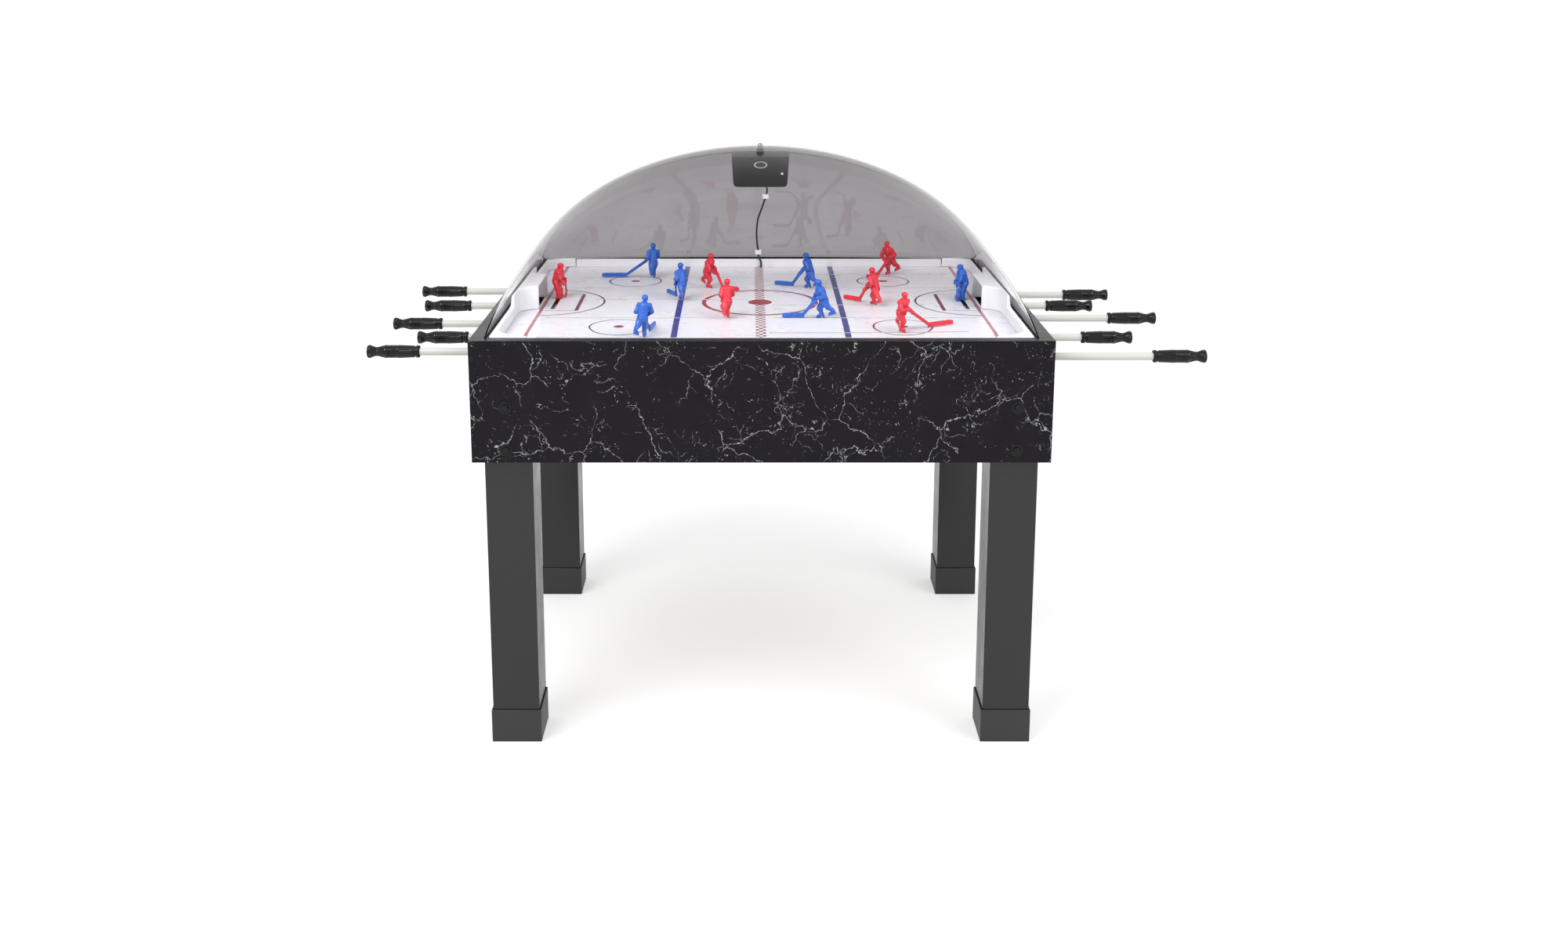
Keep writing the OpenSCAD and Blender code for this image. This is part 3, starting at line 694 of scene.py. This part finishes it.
def handle_mesh():
    """The grip along +Z from the rod's side, with a bore for the rod."""
    shape = bmesh.new()
    angles = [2 * pi * k / handle_turns for k in range(handle_turns)]
    bore, bore_end = 0.0076, 0.071
    rows = [[shape.verts.new((bore * cos(a), bore * sin(a), h)) for a in angles] for h in (bore_end, 0.0)]
    for j in range(handle_rows + 1):
        share = j / handle_rows
        ring = [(handle_radius(share, a), a) for a in angles]
        rows.append([shape.verts.new((r * cos(a), r * sin(a), share * handle_l)) for r, a in ring])
    skin(shape, rows, capped=True)
    return finished("handle", shape, crease=45)


def spun(degrees, axis):
    """A turn about an axis."""
    return Matrix.Rotation(radians(degrees), 4, axis)


def moved(mesh, place, turn=Matrix.Identity(4)):
    """A copy of a mesh, turned and brought to its place."""
    mesh = mesh.copy()
    mesh.transform(Matrix.Translation(place) @ turn)
    return mesh


handle_black = moulded("handle plastic", grey(0.002), grey(0.006), 0.17, 1500.0, 0.18, 0.000012, 0.3)
pin_steel = moulded("pin metal", (0.45, 0.45, 0.45), (0.62, 0.62, 0.62), 0.3, 900.0, 0.2, 0.00001)
grip = handle_mesh()
pin = [(0, -0.001), (0.0007, -0.001), (0.0007, 0.0002), (0.0005, 0.0005), (0, 0.0006)]
pin_spots = []
for share, shift in ((0.648, 0.0), (0.94, 0.25)):
    for k in range(scallop_count):
        angle = 2 * pi * (k + shift) / scallop_count
        way = Vector((cos(angle), sin(angle), 0))
        pin_spots.append((way * handle_radius(share, angle) + Vector((0, 0, share * handle_l)), way))
pins = fix("handle_pins", lathe("pin", pin, turns=10), pin_spots, pin_steel, chance=2)
for unit, side, lane, spindle, rod, way, reach in units:
    at_rod = (spindle + side * (rod - handle_l), lane, rod_z), spun(90 * side, "Y")
    mesh = moved(grip, *at_rod)
    piece(unit + "_grip", mesh, handle_black, unit + "_rod", "handle_plastic", unit + "_handle")
    piece(unit + "_grip_pins", moved(pins, *at_rod), None, unit + "_rod", "handle_plastic")


# Field players
# Skaters moulded in one colour, leaning on one skate. The wings with the long stick stand side on to it.
# Each has a steel spindle through its slot, with a bevel gear.
def ball(shape, centre, radii, turn=Matrix.Identity(4)):
    """A stretched ball in millimetres, turned by a rotation matrix."""
    size = Matrix.Scale(radii, 4) if isinstance(radii, (int, float)) else Matrix.Diagonal((*radii, 1))
    place = Matrix.Translation(centre) @ turn @ size
    bmesh.ops.create_icosphere(shape, subdivisions=3, radius=1, matrix=place)


def between(start, end):
    """The frame midway between two points, with Z along them, and their distance."""
    start, end = Vector(start), Vector(end)
    along = end - start
    turn = along.to_track_quat("Z", "Y").to_matrix().to_4x4()
    return Matrix.Translation((start + end) / 2) @ turn, along.length


def limb(shape, start, end, r1, r2):
    """A round limb between two points in millimetres, with a ball at each end."""
    place, length = between(start, end)
    bmesh.ops.create_cone(shape, cap_ends=True, segments=24, radius1=r1, radius2=r2, depth=length,
                          matrix=place)
    ball(shape, start, r1)
    ball(shape, end, r2)


def slab(shape, low, high, turn=Matrix.Identity(4)):
    """A box in millimetres between two corners, turned about its middle."""
    low, high = Vector(low), Vector(high)
    place = Matrix.Translation((low + high) / 2) @ turn @ Matrix.Diagonal((*(high - low), 1))
    bmesh.ops.create_cube(shape, size=1, matrix=place)


def head(shape, centre, brim):
    """A small helmeted head that looks along +X, with plain features."""
    x, y, z = centre
    ball(shape, (x, y, z - 1.0), (5.0, 4.6, 6.4))
    ball(shape, (x - 0.6, y, z + 1.6), (6.9, 6.2, 5.6))
    limb(shape, (x - 5.0, y, z - 1.0), (x - 4.4, y, z + 1.5), 2.6, 3.2)
    ball(shape, (x + 4.9, y, z + 1.6), (brim, 4.2, 0.9))
    ball(shape, (x + 5.0, y, z - 1.6), (1.3, 0.9, 1.5))
    ball(shape, (x + 3.6, y, z - 5.4), (1.7, 2.2, 1.5))
    for side in (-1, 1):
        ball(shape, (x - 0.4, y + side * 4.9, z - 1.6), (1.7, 0.9, 2.4))


def skate(shape, centre, way, tip):
    """A boot with its runner, turned round Z and tipped forward."""
    turn = spun(way, "Z") @ spun(tip, "Y")
    at = Matrix.Translation(centre) @ turn
    ball(shape, at @ Vector((2.6, 0, -0.8)), (6.4, 3.4, 3.0), turn)
    ball(shape, at @ Vector((-2.8, 0, 0.6)), (3.9, 3.4, 4.4), turn)
    middle = at @ Vector((1.4, 0, -4.0))
    slab(shape, middle - Vector((9.0, 0.9, 1.1)), middle + Vector((9.0, 0.9, 1.1)), turn)
    for x in (-3.6, 5.0):
        ball(shape, at @ Vector((x, 0, -3.0)), (1.6, 1.1, 1.6), turn)


def skater_body(stick_top, stick_low, sideways):
    """The figure without its stick, in millimetres, turned from the stick's way along +X."""
    shape = bmesh.new()
    turn = spun(sideways, "Z")
    hip, chest = Vector((-4, 3, 34)), Vector((4, 1, 56))
    # Each leg: skate's place, way and tip, then ankle, knee, kneecap from the knee, thigh from the hip
    legs = (
        ((1.5, 0, 5.2), 0, 0, (0.2, 0.2, 8.0), (4.5, 0.6, 19), (1.6, 0, -0.5), (1, -4, -2)),
        ((-20, 10.5, 13), -22, 18, (-21, 11, 17), (-11.5, 8.5, 23), (1.4, -0.6, -1.0), (-1, 3, -2)),
    )
    top, low = turn.inverted() @ Vector(stick_top), turn.inverted() @ Vector(stick_low)
    hands = [top.lerp(low, 0.40), top.lerp(low, 0.12)]
    if sideways:
        hands = [top.lerp(low, 0.10), top.lerp(low, 0.28)]
    for foot, way, tip, ankle, knee, kneecap, thigh in legs:
        skate(shape, foot, way, tip)
        limb(shape, ankle, knee, 4.0, 5.4)
        ball(shape, Vector(knee) + Vector(kneecap), (4.4, 4.8, 5.0))
        limb(shape, knee, hip + Vector(thigh), 6.0, 7.8)
    ball(shape, hip, (9.8, 10.6, 8.6))
    limb(shape, hip + Vector((1.6, -0.4, 5)), chest, 9.2, 10.2)
    lean = spun(18, "Y")
    ball(shape, hip + Vector((1.0, -0.3, 3.4)), (10.6, 11.2, 2.3), lean)
    ball(shape, chest + Vector((-0.6, 0, 1.5)), (9.0, 12.0, 6.6), lean)
    limb(shape, chest, (7.4, 0, 66), 5.2, 3.9)
    head(shape, (8, 0, 70.6), 2.3)
    arms = (((4, -9.5, 57), (11.5, -12.0, 44)), ((4, 10.5, 57), (-3.5, 15.0, 46)))
    for (shoulder, elbow), hand in zip(arms, hands):
        shoulder, elbow = Vector(shoulder), Vector(elbow)
        ball(shape, shoulder + Vector((0, 0, 0.8)), (5.9, 5.4, 5.3))
        limb(shape, shoulder, elbow, 5.1, 4.5)
        limb(shape, elbow, hand, 4.4, 3.4)
        ball(shape, elbow.lerp(hand, 0.66), 4.4)
        ball(shape, hand, (4.4, 4.2, 4.1))
    bmesh.ops.transform(shape, matrix=turn, verts=shape.verts)
    return melted("skater", shape, grain_size=0.55, passes=5, share=0.3)


def shaft_mesh(top, low, size):
    """A flat-sided stick shaft with eased edges, from millimetres to metres."""
    shape = bmesh.new()
    place, length = between(top, low)
    bmesh.ops.create_cube(shape, size=1, matrix=place @ Matrix.Diagonal((*size, length, 1)))
    return eased_stick(shape)


def blade_mesh(heel, toe, thick, low_z, high_z):
    """A long flat blade with a rounded, curled toe, from millimetres to metres."""
    shape = bmesh.new()
    rows = 14
    sections = []
    for k in range(rows + 1):
        t = k / rows
        x = heel + (toe - heel) * t
        curl = 0.6 * smooth(0.3, 1.0, t) ** 2
        rise = high_z - 1.4 * smooth(0.88, 1.0, t) - 0.8 * (1 - smooth(0.0, 0.12, t))
        drop = low_z + 0.8 * smooth(0.92, 1.0, t)
        corners = ((curl - thick, drop), (curl + thick, drop), (curl + thick, rise), (curl - thick, rise))
        sections.append([shape.verts.new((x, *c)) for c in corners])
    skin(shape, sections, capped=True)
    return eased_stick(shape)


def eased_stick(shape):
    """Eases the edges of a stick's piece and brings it from millimetres to metres."""
    edges = [e for e in shape.edges if e.calc_face_angle() > sharp]
    bmesh.ops.bevel(shape, geom=edges, offset=0.5, segments=2, profile=0.5, affect="EDGES")
    mesh = finished("stick", shape, crease=40)
    mesh.transform(Matrix.Scale(0.001, 4))
    return mesh


team_red = moulded("red plastic", (0.55, 0.018, 0.035), (0.68, 0.030, 0.050), 0.27, 600.0, 0.2, 0.00003)
team_blue = moulded("blue plastic", (0.014, 0.085, 0.40), (0.024, 0.12, 0.52), 0.27, 600.0, 0.2, 0.00003)
foot_gap = 0.0006
gear = [(0, 0.0075), (0.0071, 0.0075), (0.0136, 0.014), (0.009, 0.014), (0.009, 0.018), (0.00225, 0.018)]
gear += [(0.00225, 0.0435), (0, 0.0435)]
spindle_mesh = lathe("spindle", gear, turns=32)
figures = {}
# Each kind: reach of the stick, length of its blade, turn of the body, upper end of the stick
kinds = ((79, 44, 0, (7, 13, 47)), (70, 44, 0, (7, 13, 47)), (118, 58, -75, (3, -12, 47)))
for reach, blade, sideways, stick_top in kinds:
    stick_low = (reach - blade + 3, 0, 6)
    shaft = shaft_mesh(stick_top, stick_low, (3.4, 6.0))
    stick_blade = blade_mesh(reach - blade, reach, 1.7, 1.5, 10.5)
    figures[reach] = joined("skater", skater_body(stick_top, stick_low, sideways), shaft, stick_blade)
for unit, side, lane, spindle, rod, way, reach in units:
    turn = spun(way, "Z")
    mesh = moved(figures[reach], (spindle, lane, rink_z + foot_gap), turn)
    team, slot = (team_red, "red_plastic") if side < 0 else (team_blue, "blue_plastic")
    piece(unit + "_skater", mesh, team, unit + "_player", slot, unit + "_player")
    mesh = moved(spindle_mesh, (spindle, lane, rod_z))
    piece(unit + "_spindle", mesh, carriage_steel, unit + "_player", "carriage_steel")


# Goalies
# Keepers moulded in one colour, upright with wide leg pads, a glove, a blocker and a heavy stick.
# Each slides across its goal on a round peg in a slot, held by a washer below the board.
def goalie_body():
    """The figure without its stick, in millimetres, facing +X."""
    shape = bmesh.new()
    slab(shape, (-7, -12, 0), (7, 12, 3))
    lean = spun(-6, "Y")
    for side in (-1, 1):
        limb(shape, (0, 8 * side, 4), (-1, 7.5 * side, 18), 4.8, 5.4)
        limb(shape, (-1, 7.5 * side, 18), (-4, 6 * side, 33), 5.6, 7.4)
        slab(shape, (3.0, 8 * side - 5.6, 3), (6.6, 8 * side + 5.6, 28), lean)
        ball(shape, (5.4, 8 * side, 17), (3.2, 5.4, 3.6))
        ball(shape, (3.6, 8 * side, 3), (5.5, 4.2, 3.2))
        ball(shape, (3, 12 * side, 56), (5.8, 5.4, 5.2))
        limb(shape, (3, 12 * side, 55), (5, 15.5 * side, 45), 4.9, 4.4)
        limb(shape, (5, 15.5 * side, 45), (11.5, 13.5 * side, 35), 4.3, 3.6)
    ball(shape, (13, -13, 34), (3.4, 5.6, 5.8))
    ball(shape, (12, 13, 34), (3.8, 4.0, 4.6))
    slab(shape, (13.4, 9.0, 28.5), (15.4, 17.5, 41))
    ball(shape, (-4, 0, 33), (9.4, 12.0, 7.6))
    limb(shape, (-4, 0, 36), (1.5, 0, 55), 10.2, 11.0)
    ball(shape, (1.4, 0, 56), (8.2, 13.6, 6.0))
    limb(shape, (1.5, 0, 54), (4.6, 0, 65), 5.2, 4.2)
    head(shape, (5, 0, 68.6), 1.8)
    return melted("goalie", shape, grain_size=0.55, passes=4, share=0.3)


peg = [(0, -0.012), (0.009, -0.012), (0.009, -0.0095), (0.0035, -0.0095), (0.0035, 0.002), (0, 0.002)]
keeper_blade = bmesh.new()
slab(keeper_blade, (12.4, 2, 1), (15.2, 26, 10))
keeper_shaft = shaft_mesh((12, 13, 41), (13.8, 21, 6), (2.6, 4.4))
keeper = joined("goalie", goalie_body(), keeper_shaft, eased_stick(keeper_blade))
peg_mesh = lathe("peg", peg, turns=32)
goalie_x = 0.425
keepers = (("red", -1, 0.041, team_red, "red_plastic"), ("blue", 1, 0.026, team_blue, "blue_plastic"))
for name, side, y, team, slot in keepers:
    turn = spun(0 if side < 0 else 180, "Z")
    mesh = moved(keeper, (side * goalie_x, y, rink_z + foot_gap), turn)
    piece(name + "_keeper", mesh, team, name + "_goalie", slot, name + "_goalie")
    mesh = moved(peg_mesh, (side * goalie_x, y, rink_z))
    piece(name + "_keeper_peg", mesh, team, name + "_goalie", slot)


# Scoring box
# A black moulded box hung under the crown of the dome on a short boss, with a round-cornered underside.
# An oval button in a bright bezel and a small lamp are set in its front.
box_top, box_half_w, box_half_d, box_h = 1.09, 0.058, 0.05, 0.06
box_taper, box_corner, box_edge = 0.003, 0.009, 0.0016
box_black = moulded("box plastic", grey(0.006), grey(0.012), 0.4, 1000.0, 0.25, 0.00004, 0.3)


def scoring_box_mesh():
    """The box from its outline in front view, with the boss on top."""
    outline = [(box_half_w, 0.0)]
    low_x, low_z = box_half_w - box_taper - box_corner, box_corner - box_h
    angles = [pi / 2 * k / 8 for k in range(9)]
    outline += [(low_x + box_corner * cos(a), low_z - box_corner * sin(a)) for a in angles]
    outline += [(-x, z) for x, z in reversed(outline)]
    shape = bmesh.new()
    depths = (-box_half_d, box_half_d)
    front, back = [[shape.verts.new((x, y, box_top + z)) for x, z in outline] for y in depths]
    skin(shape, (front, back))
    caps = [shape.faces.new(front), shape.faces.new(list(reversed(back)))]
    bmesh.ops.recalc_face_normals(shape, faces=shape.faces)
    rims = list({e for face in caps for e in face.edges})
    bmesh.ops.bevel(shape, geom=rims, offset=box_edge, segments=3, profile=0.5, affect="EDGES")
    boss = [(0, -0.001), (0.009, -0.001), (0.009, 0.0037), (0.0085, 0.0042), (0, 0.0042)]
    boss = moved(lathe("box_boss", boss, turns=40), (0, 0, box_top))
    return joined("scoring_box", finished("scoring_box", shape, crease=35), boss)


piece("scoring_box_moulded", scoring_box_mesh(), box_black, "table", "black_plastic", "scoring_box")
oval_x, oval_z, oval_wide, oval_high, rim_in, rim_out = 0.0005, 1.0745, 0.0135, 0.0066, 0.58, 0.66
bezel = [(0, -0.001), (1.0, -0.001), (1.0, 0.0008), (0.95, 0.0013), (0.84, 0.0013), (0.78, 0.0006)]
bezel_mesh = lathe("oval_bezel", bezel + [(0.74, 0.0003), (0, 0.0005)], turns=48)
bezel_mesh.transform(Matrix.Diagonal((oval_wide, oval_high, 1, 1)))
upright = spun(90, "X")
bezel_mesh = moved(bezel_mesh, (oval_x, -box_half_d, oval_z), upright)
bezel_metal, shader, place = material("bezel metal")
rough, tone, normal = grain(place, 700.0, 0.35, 0.2, 0.00001)
axes = axes_of(place)
oval_dx = maths("DIVIDE", minus(axes["X"], oval_x), oval_wide)
oval_dz = maths("DIVIDE", minus(axes["Z"], oval_z), oval_high)
oval_far = plus(times(oval_dx, oval_dx), times(oval_dz, oval_dz))
oval_rim = tint(step(oval_far, rim_in, rim_out), grey(0.012), (0.36, 0.36, 0.37))
dress(shader, oval_rim, rough, normal)
piece("oval_bezel", bezel_mesh, bezel_metal, "table", "nut_chrome")
lamp_white = moulded("lamp plastic", (0.60, 0.60, 0.60), (0.70, 0.70, 0.70), 0.3)
lens = [(0, -0.001), (0.0022, -0.001), (0.0022, 0.0006), (0.0016, 0.0012), (0, 0.0014)]
lamp_x, lamp_z = 0.044, 1.057
lens = moved(lathe("score_lamp", lens, turns=24), (lamp_x, -box_half_d, lamp_z), upright)
piece("score_lamp", lens, lamp_white, "table", "white_plastic")


# Cap nut
# A polished cap nut on a thin washer holds the box's stud where it comes up through the crown.
# The hex is chamfered and the cap is domed.
chrome_dark, chrome_light = (0.26, 0.26, 0.27), (0.36, 0.36, 0.37)
nut_chrome = moulded("polished chrome", chrome_dark, chrome_light, 0.1, 400.0, 0.12, 0.000005, metal=1.0)
crown_z = 1.0982
nut_washer = [(0, -0.029), (0.003, -0.029), (0.003, 0.0), (0.0088, 0.0), (0.009, 0.0003), (0.0089, 0.0011)]
nut_washer += [(0.0085, 0.0014), (0, 0.0014)]
nut_hex = [(0, 0.0012), (0.0064, 0.0012), (0.0072, 0.0019), (0.0072, 0.0062), (0.0063, 0.007), (0, 0.007)]
cap_r, cap_z = 0.0056, 0.01
nut_cap = [(0, 0.0062), (cap_r, 0.0062), (cap_r, cap_z)]
cap_angles = [pi * k / 20 for k in range(1, 10)]
nut_cap += [(cap_r * cos(a), cap_z + cap_r * sin(a)) for a in cap_angles] + [(0, cap_z + cap_r)]
nut_parts = [lathe("nut_washer", nut_washer, turns=40), lathe("nut_hex", nut_hex, turns=6)]
nut_parts += [lathe("nut_cap", nut_cap, turns=40)]
nut_mesh = moved(joined("cap_nut", *nut_parts), (0, 0, crown_z))
piece("cap_nut", nut_mesh, nut_chrome, "table", "nut_chrome", "dome_nut")


# Scoring cable and its clips
# A thin black lead from the back of the box to the dome's back wall, down it and into the playfield.
# Two white saddle clips stuck to the wall hold it.
cable_route = (
    (0.012, 0.050, 1.060), (0.012, 0.066, 1.060), (0.013, 0.110, 1.050), (0.014, 0.170, 1.029),
    (0.016, 0.230, 1.008), (0.017, 0.290, 0.988), (0.018, 0.345, 0.973), (0.019, 0.370, 0.9665),
    (0.019, 0.379, 0.959), (0.013, 0.379, 0.937), (0.006, 0.379, 0.917), (-0.002, 0.379, 0.893),
    (-0.005, 0.379, 0.864), (-0.004, 0.379, 0.839), (-0.002, 0.379, 0.822), (-0.0005, 0.379, 0.808),
    (0.0015, 0.375, 0.801), (0.005, 0.3746, 0.792), (0.005, 0.3746, 0.772),
)
cable_d, cable_length, cable_steps = 0.004, 0.54, 6


def eased_route(route, steps):
    """Points of a smooth curve through a route."""
    route = [Vector(p) for p in route]
    route = [2 * route[0] - route[1]] + route + [2 * route[-1] - route[-2]]
    points = []
    for a, b, c, d in zip(route, route[1:], route[2:], route[3:]):
        for t in [k / steps for k in range(steps)]:
            bend = (2 * a - 5 * b + 4 * c - d) * t ** 2 + (3 * b - a - 3 * c + d) * t ** 3
            points.append(b + 0.5 * ((c - a) * t + bend))
    return points + [route[-2]]


cable_line = bpy.data.curves.new("scoring_lead", "CURVE")
adjust(cable_line, dimensions="3D", bevel_depth=cable_d / 2, bevel_resolution=5, use_fill_caps=True)
cable_points = eased_route(cable_route, cable_steps)
spline = cable_line.splines.new("POLY")
spline.points.add(len(cable_points) - 1)
for point, at in zip(spline.points, cable_points):
    point.co = (*at, 1.0)
cable_rubber = moulded("cable rubber", grey(0.008), grey(0.016), 0.45, 1500.0, 0.2, 0.00003)
cable_line.materials.append(cable_rubber)
cable = put("scoring_lead", cable_line)
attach(cable, "table")
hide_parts("score_cable")
clip_edge = 0.001
clip_mesh = soften("cable_clips", clip_edge, longer=0.004, rounds=3)
clips = piece("cable_clips_moulded", clip_mesh, white_plastic, "table", "white_plastic", "cable_clips")


# Dome
# One sheet of acrylic about 3 mm thick, drawn over a former: upright front and back, arched end to end.
# It stands in the rails' groove. The roof and the back are tinted grey as painted shade, darker towards the
# back, and the front is clear.
crown_ease, back_share, shade_from_y, shade_full_y = 0.6, 0.78, -0.28, 0.12


def dome_tree():
    """Geometry Nodes: a flat grid lifted over the former by the rule of its two curves."""
    inputs = [(name, "Float") for name in ("Half Length", "Half Width", "Foot", "Rise", "Arch", "Crown")]
    inputs += [("Columns", "Int"), ("Rows", "Int"), ("Finish", "Material"), ("Back Finish", "Material")]
    tree, given = group_of("dome former", "GeometryNodeTree", inputs, [("Sheet", "Geometry")])
    grid = {"Size X": 2.0, "Size Y": 2.0, "Vertices X": given["Columns"], "Vertices Y": given["Rows"]}
    grid = add(tree, "GeometryNodeMeshGrid", grid)
    flat = axes_of(tree.nodes.new("GeometryNodeInputPosition").outputs[0])
    along = maths("SINE", times(flat["X"], pi / 2))
    arch = maths("POWER", maths("MAXIMUM", minus(1.0, times(along, along)), 0.0), given["Arch"])
    level = minus(1.0, maths("ABSOLUTE", flat["Y"]))
    crown = maths("SINE", times(level, pi / 2))
    crown = maths("POWER", maths("MAXIMUM", crown, 0.0), crown_ease)
    inset = maths("POWER", crown, maths("DIVIDE", 1.0, given["Crown"]))
    across = maths("SQRT", maths("MAXIMUM", minus(1.0, inset), 0.0))
    across = times(across, maths("SIGN", flat["Y"]))
    height = times(times(arch, crown), given["Rise"])
    lifted = {"X": times(along, given["Half Length"]), "Y": times(across, given["Half Width"]),
              "Z": plus(height, given["Foot"])}
    lifted = add(tree, "ShaderNodeCombineXYZ", lifted)[0]
    drawn = add(tree, "GeometryNodeSetPosition", {"Geometry": grid["Mesh"], "Position": lifted})
    behind = maths("GREATER_THAN", flat["Y"], times(given["Half Width"], back_share))
    end_tree(drawn[0], given["Finish"], given["Back Finish"], behind)
    return tree


def acrylic(name, bend, shade_colour):
    """Clear sheet tinted grey towards the back as painted shade. Light of the lamps goes straight through."""
    made, shader, place = material(name)
    # Painted shade: the colour goes from clear to grey towards the back, standing for the back wall's darker
    # look.
    painted_back_shade = step(axes_of(place)["Y"], shade_from_y, shade_full_y)
    haze = step(noise(place, 6.0, 2.0)[0], 0.2, 0.8, 0.0, 0.02)
    feed(shader, {"Base Color": tint(painted_back_shade, (0.97, 0.97, 0.98), shade_colour), "Roughness": haze,
                  "Transmission Weight": 1.0, "IOR": bend})
    tree = made.node_tree
    shadow = tree.nodes.new("ShaderNodeLightPath").outputs["Is Shadow Ray"]
    through = tree.nodes.new("ShaderNodeBsdfTransparent").outputs[0]
    mixed = add(tree, "ShaderNodeMixShader", {0: shadow, 1: shader.outputs[0], 2: through})
    feed(tree.nodes["Material Output"], {"Surface": mixed[0]})
    return made


dome_sheet = 0.003
former = put("former", bpy.data.meshes.new("former"))
# The grey colours given to the two finishes are painted shade towards the back.
drawn = grown(former, dome_tree(), Half_Length=0.507, Half_Width=0.388, Foot=0.794, Rise=0.304, Arch=0.58,
              Crown=0.13, Columns=181, Rows=141, Finish=acrylic("roof acrylic", 1.025, (0.40, 0.38, 0.39)),
              Back_Finish=acrylic("back acrylic", 1.55, (0.32, 0.305, 0.315)))
drawn.shade_smooth()
dome = piece("dome_sheet", drawn, None, "table", "clear_acrylic", "dome")
adjust(dome.modifiers.new("sheet", "SOLIDIFY"), thickness=dome_sheet, offset=-1.0)
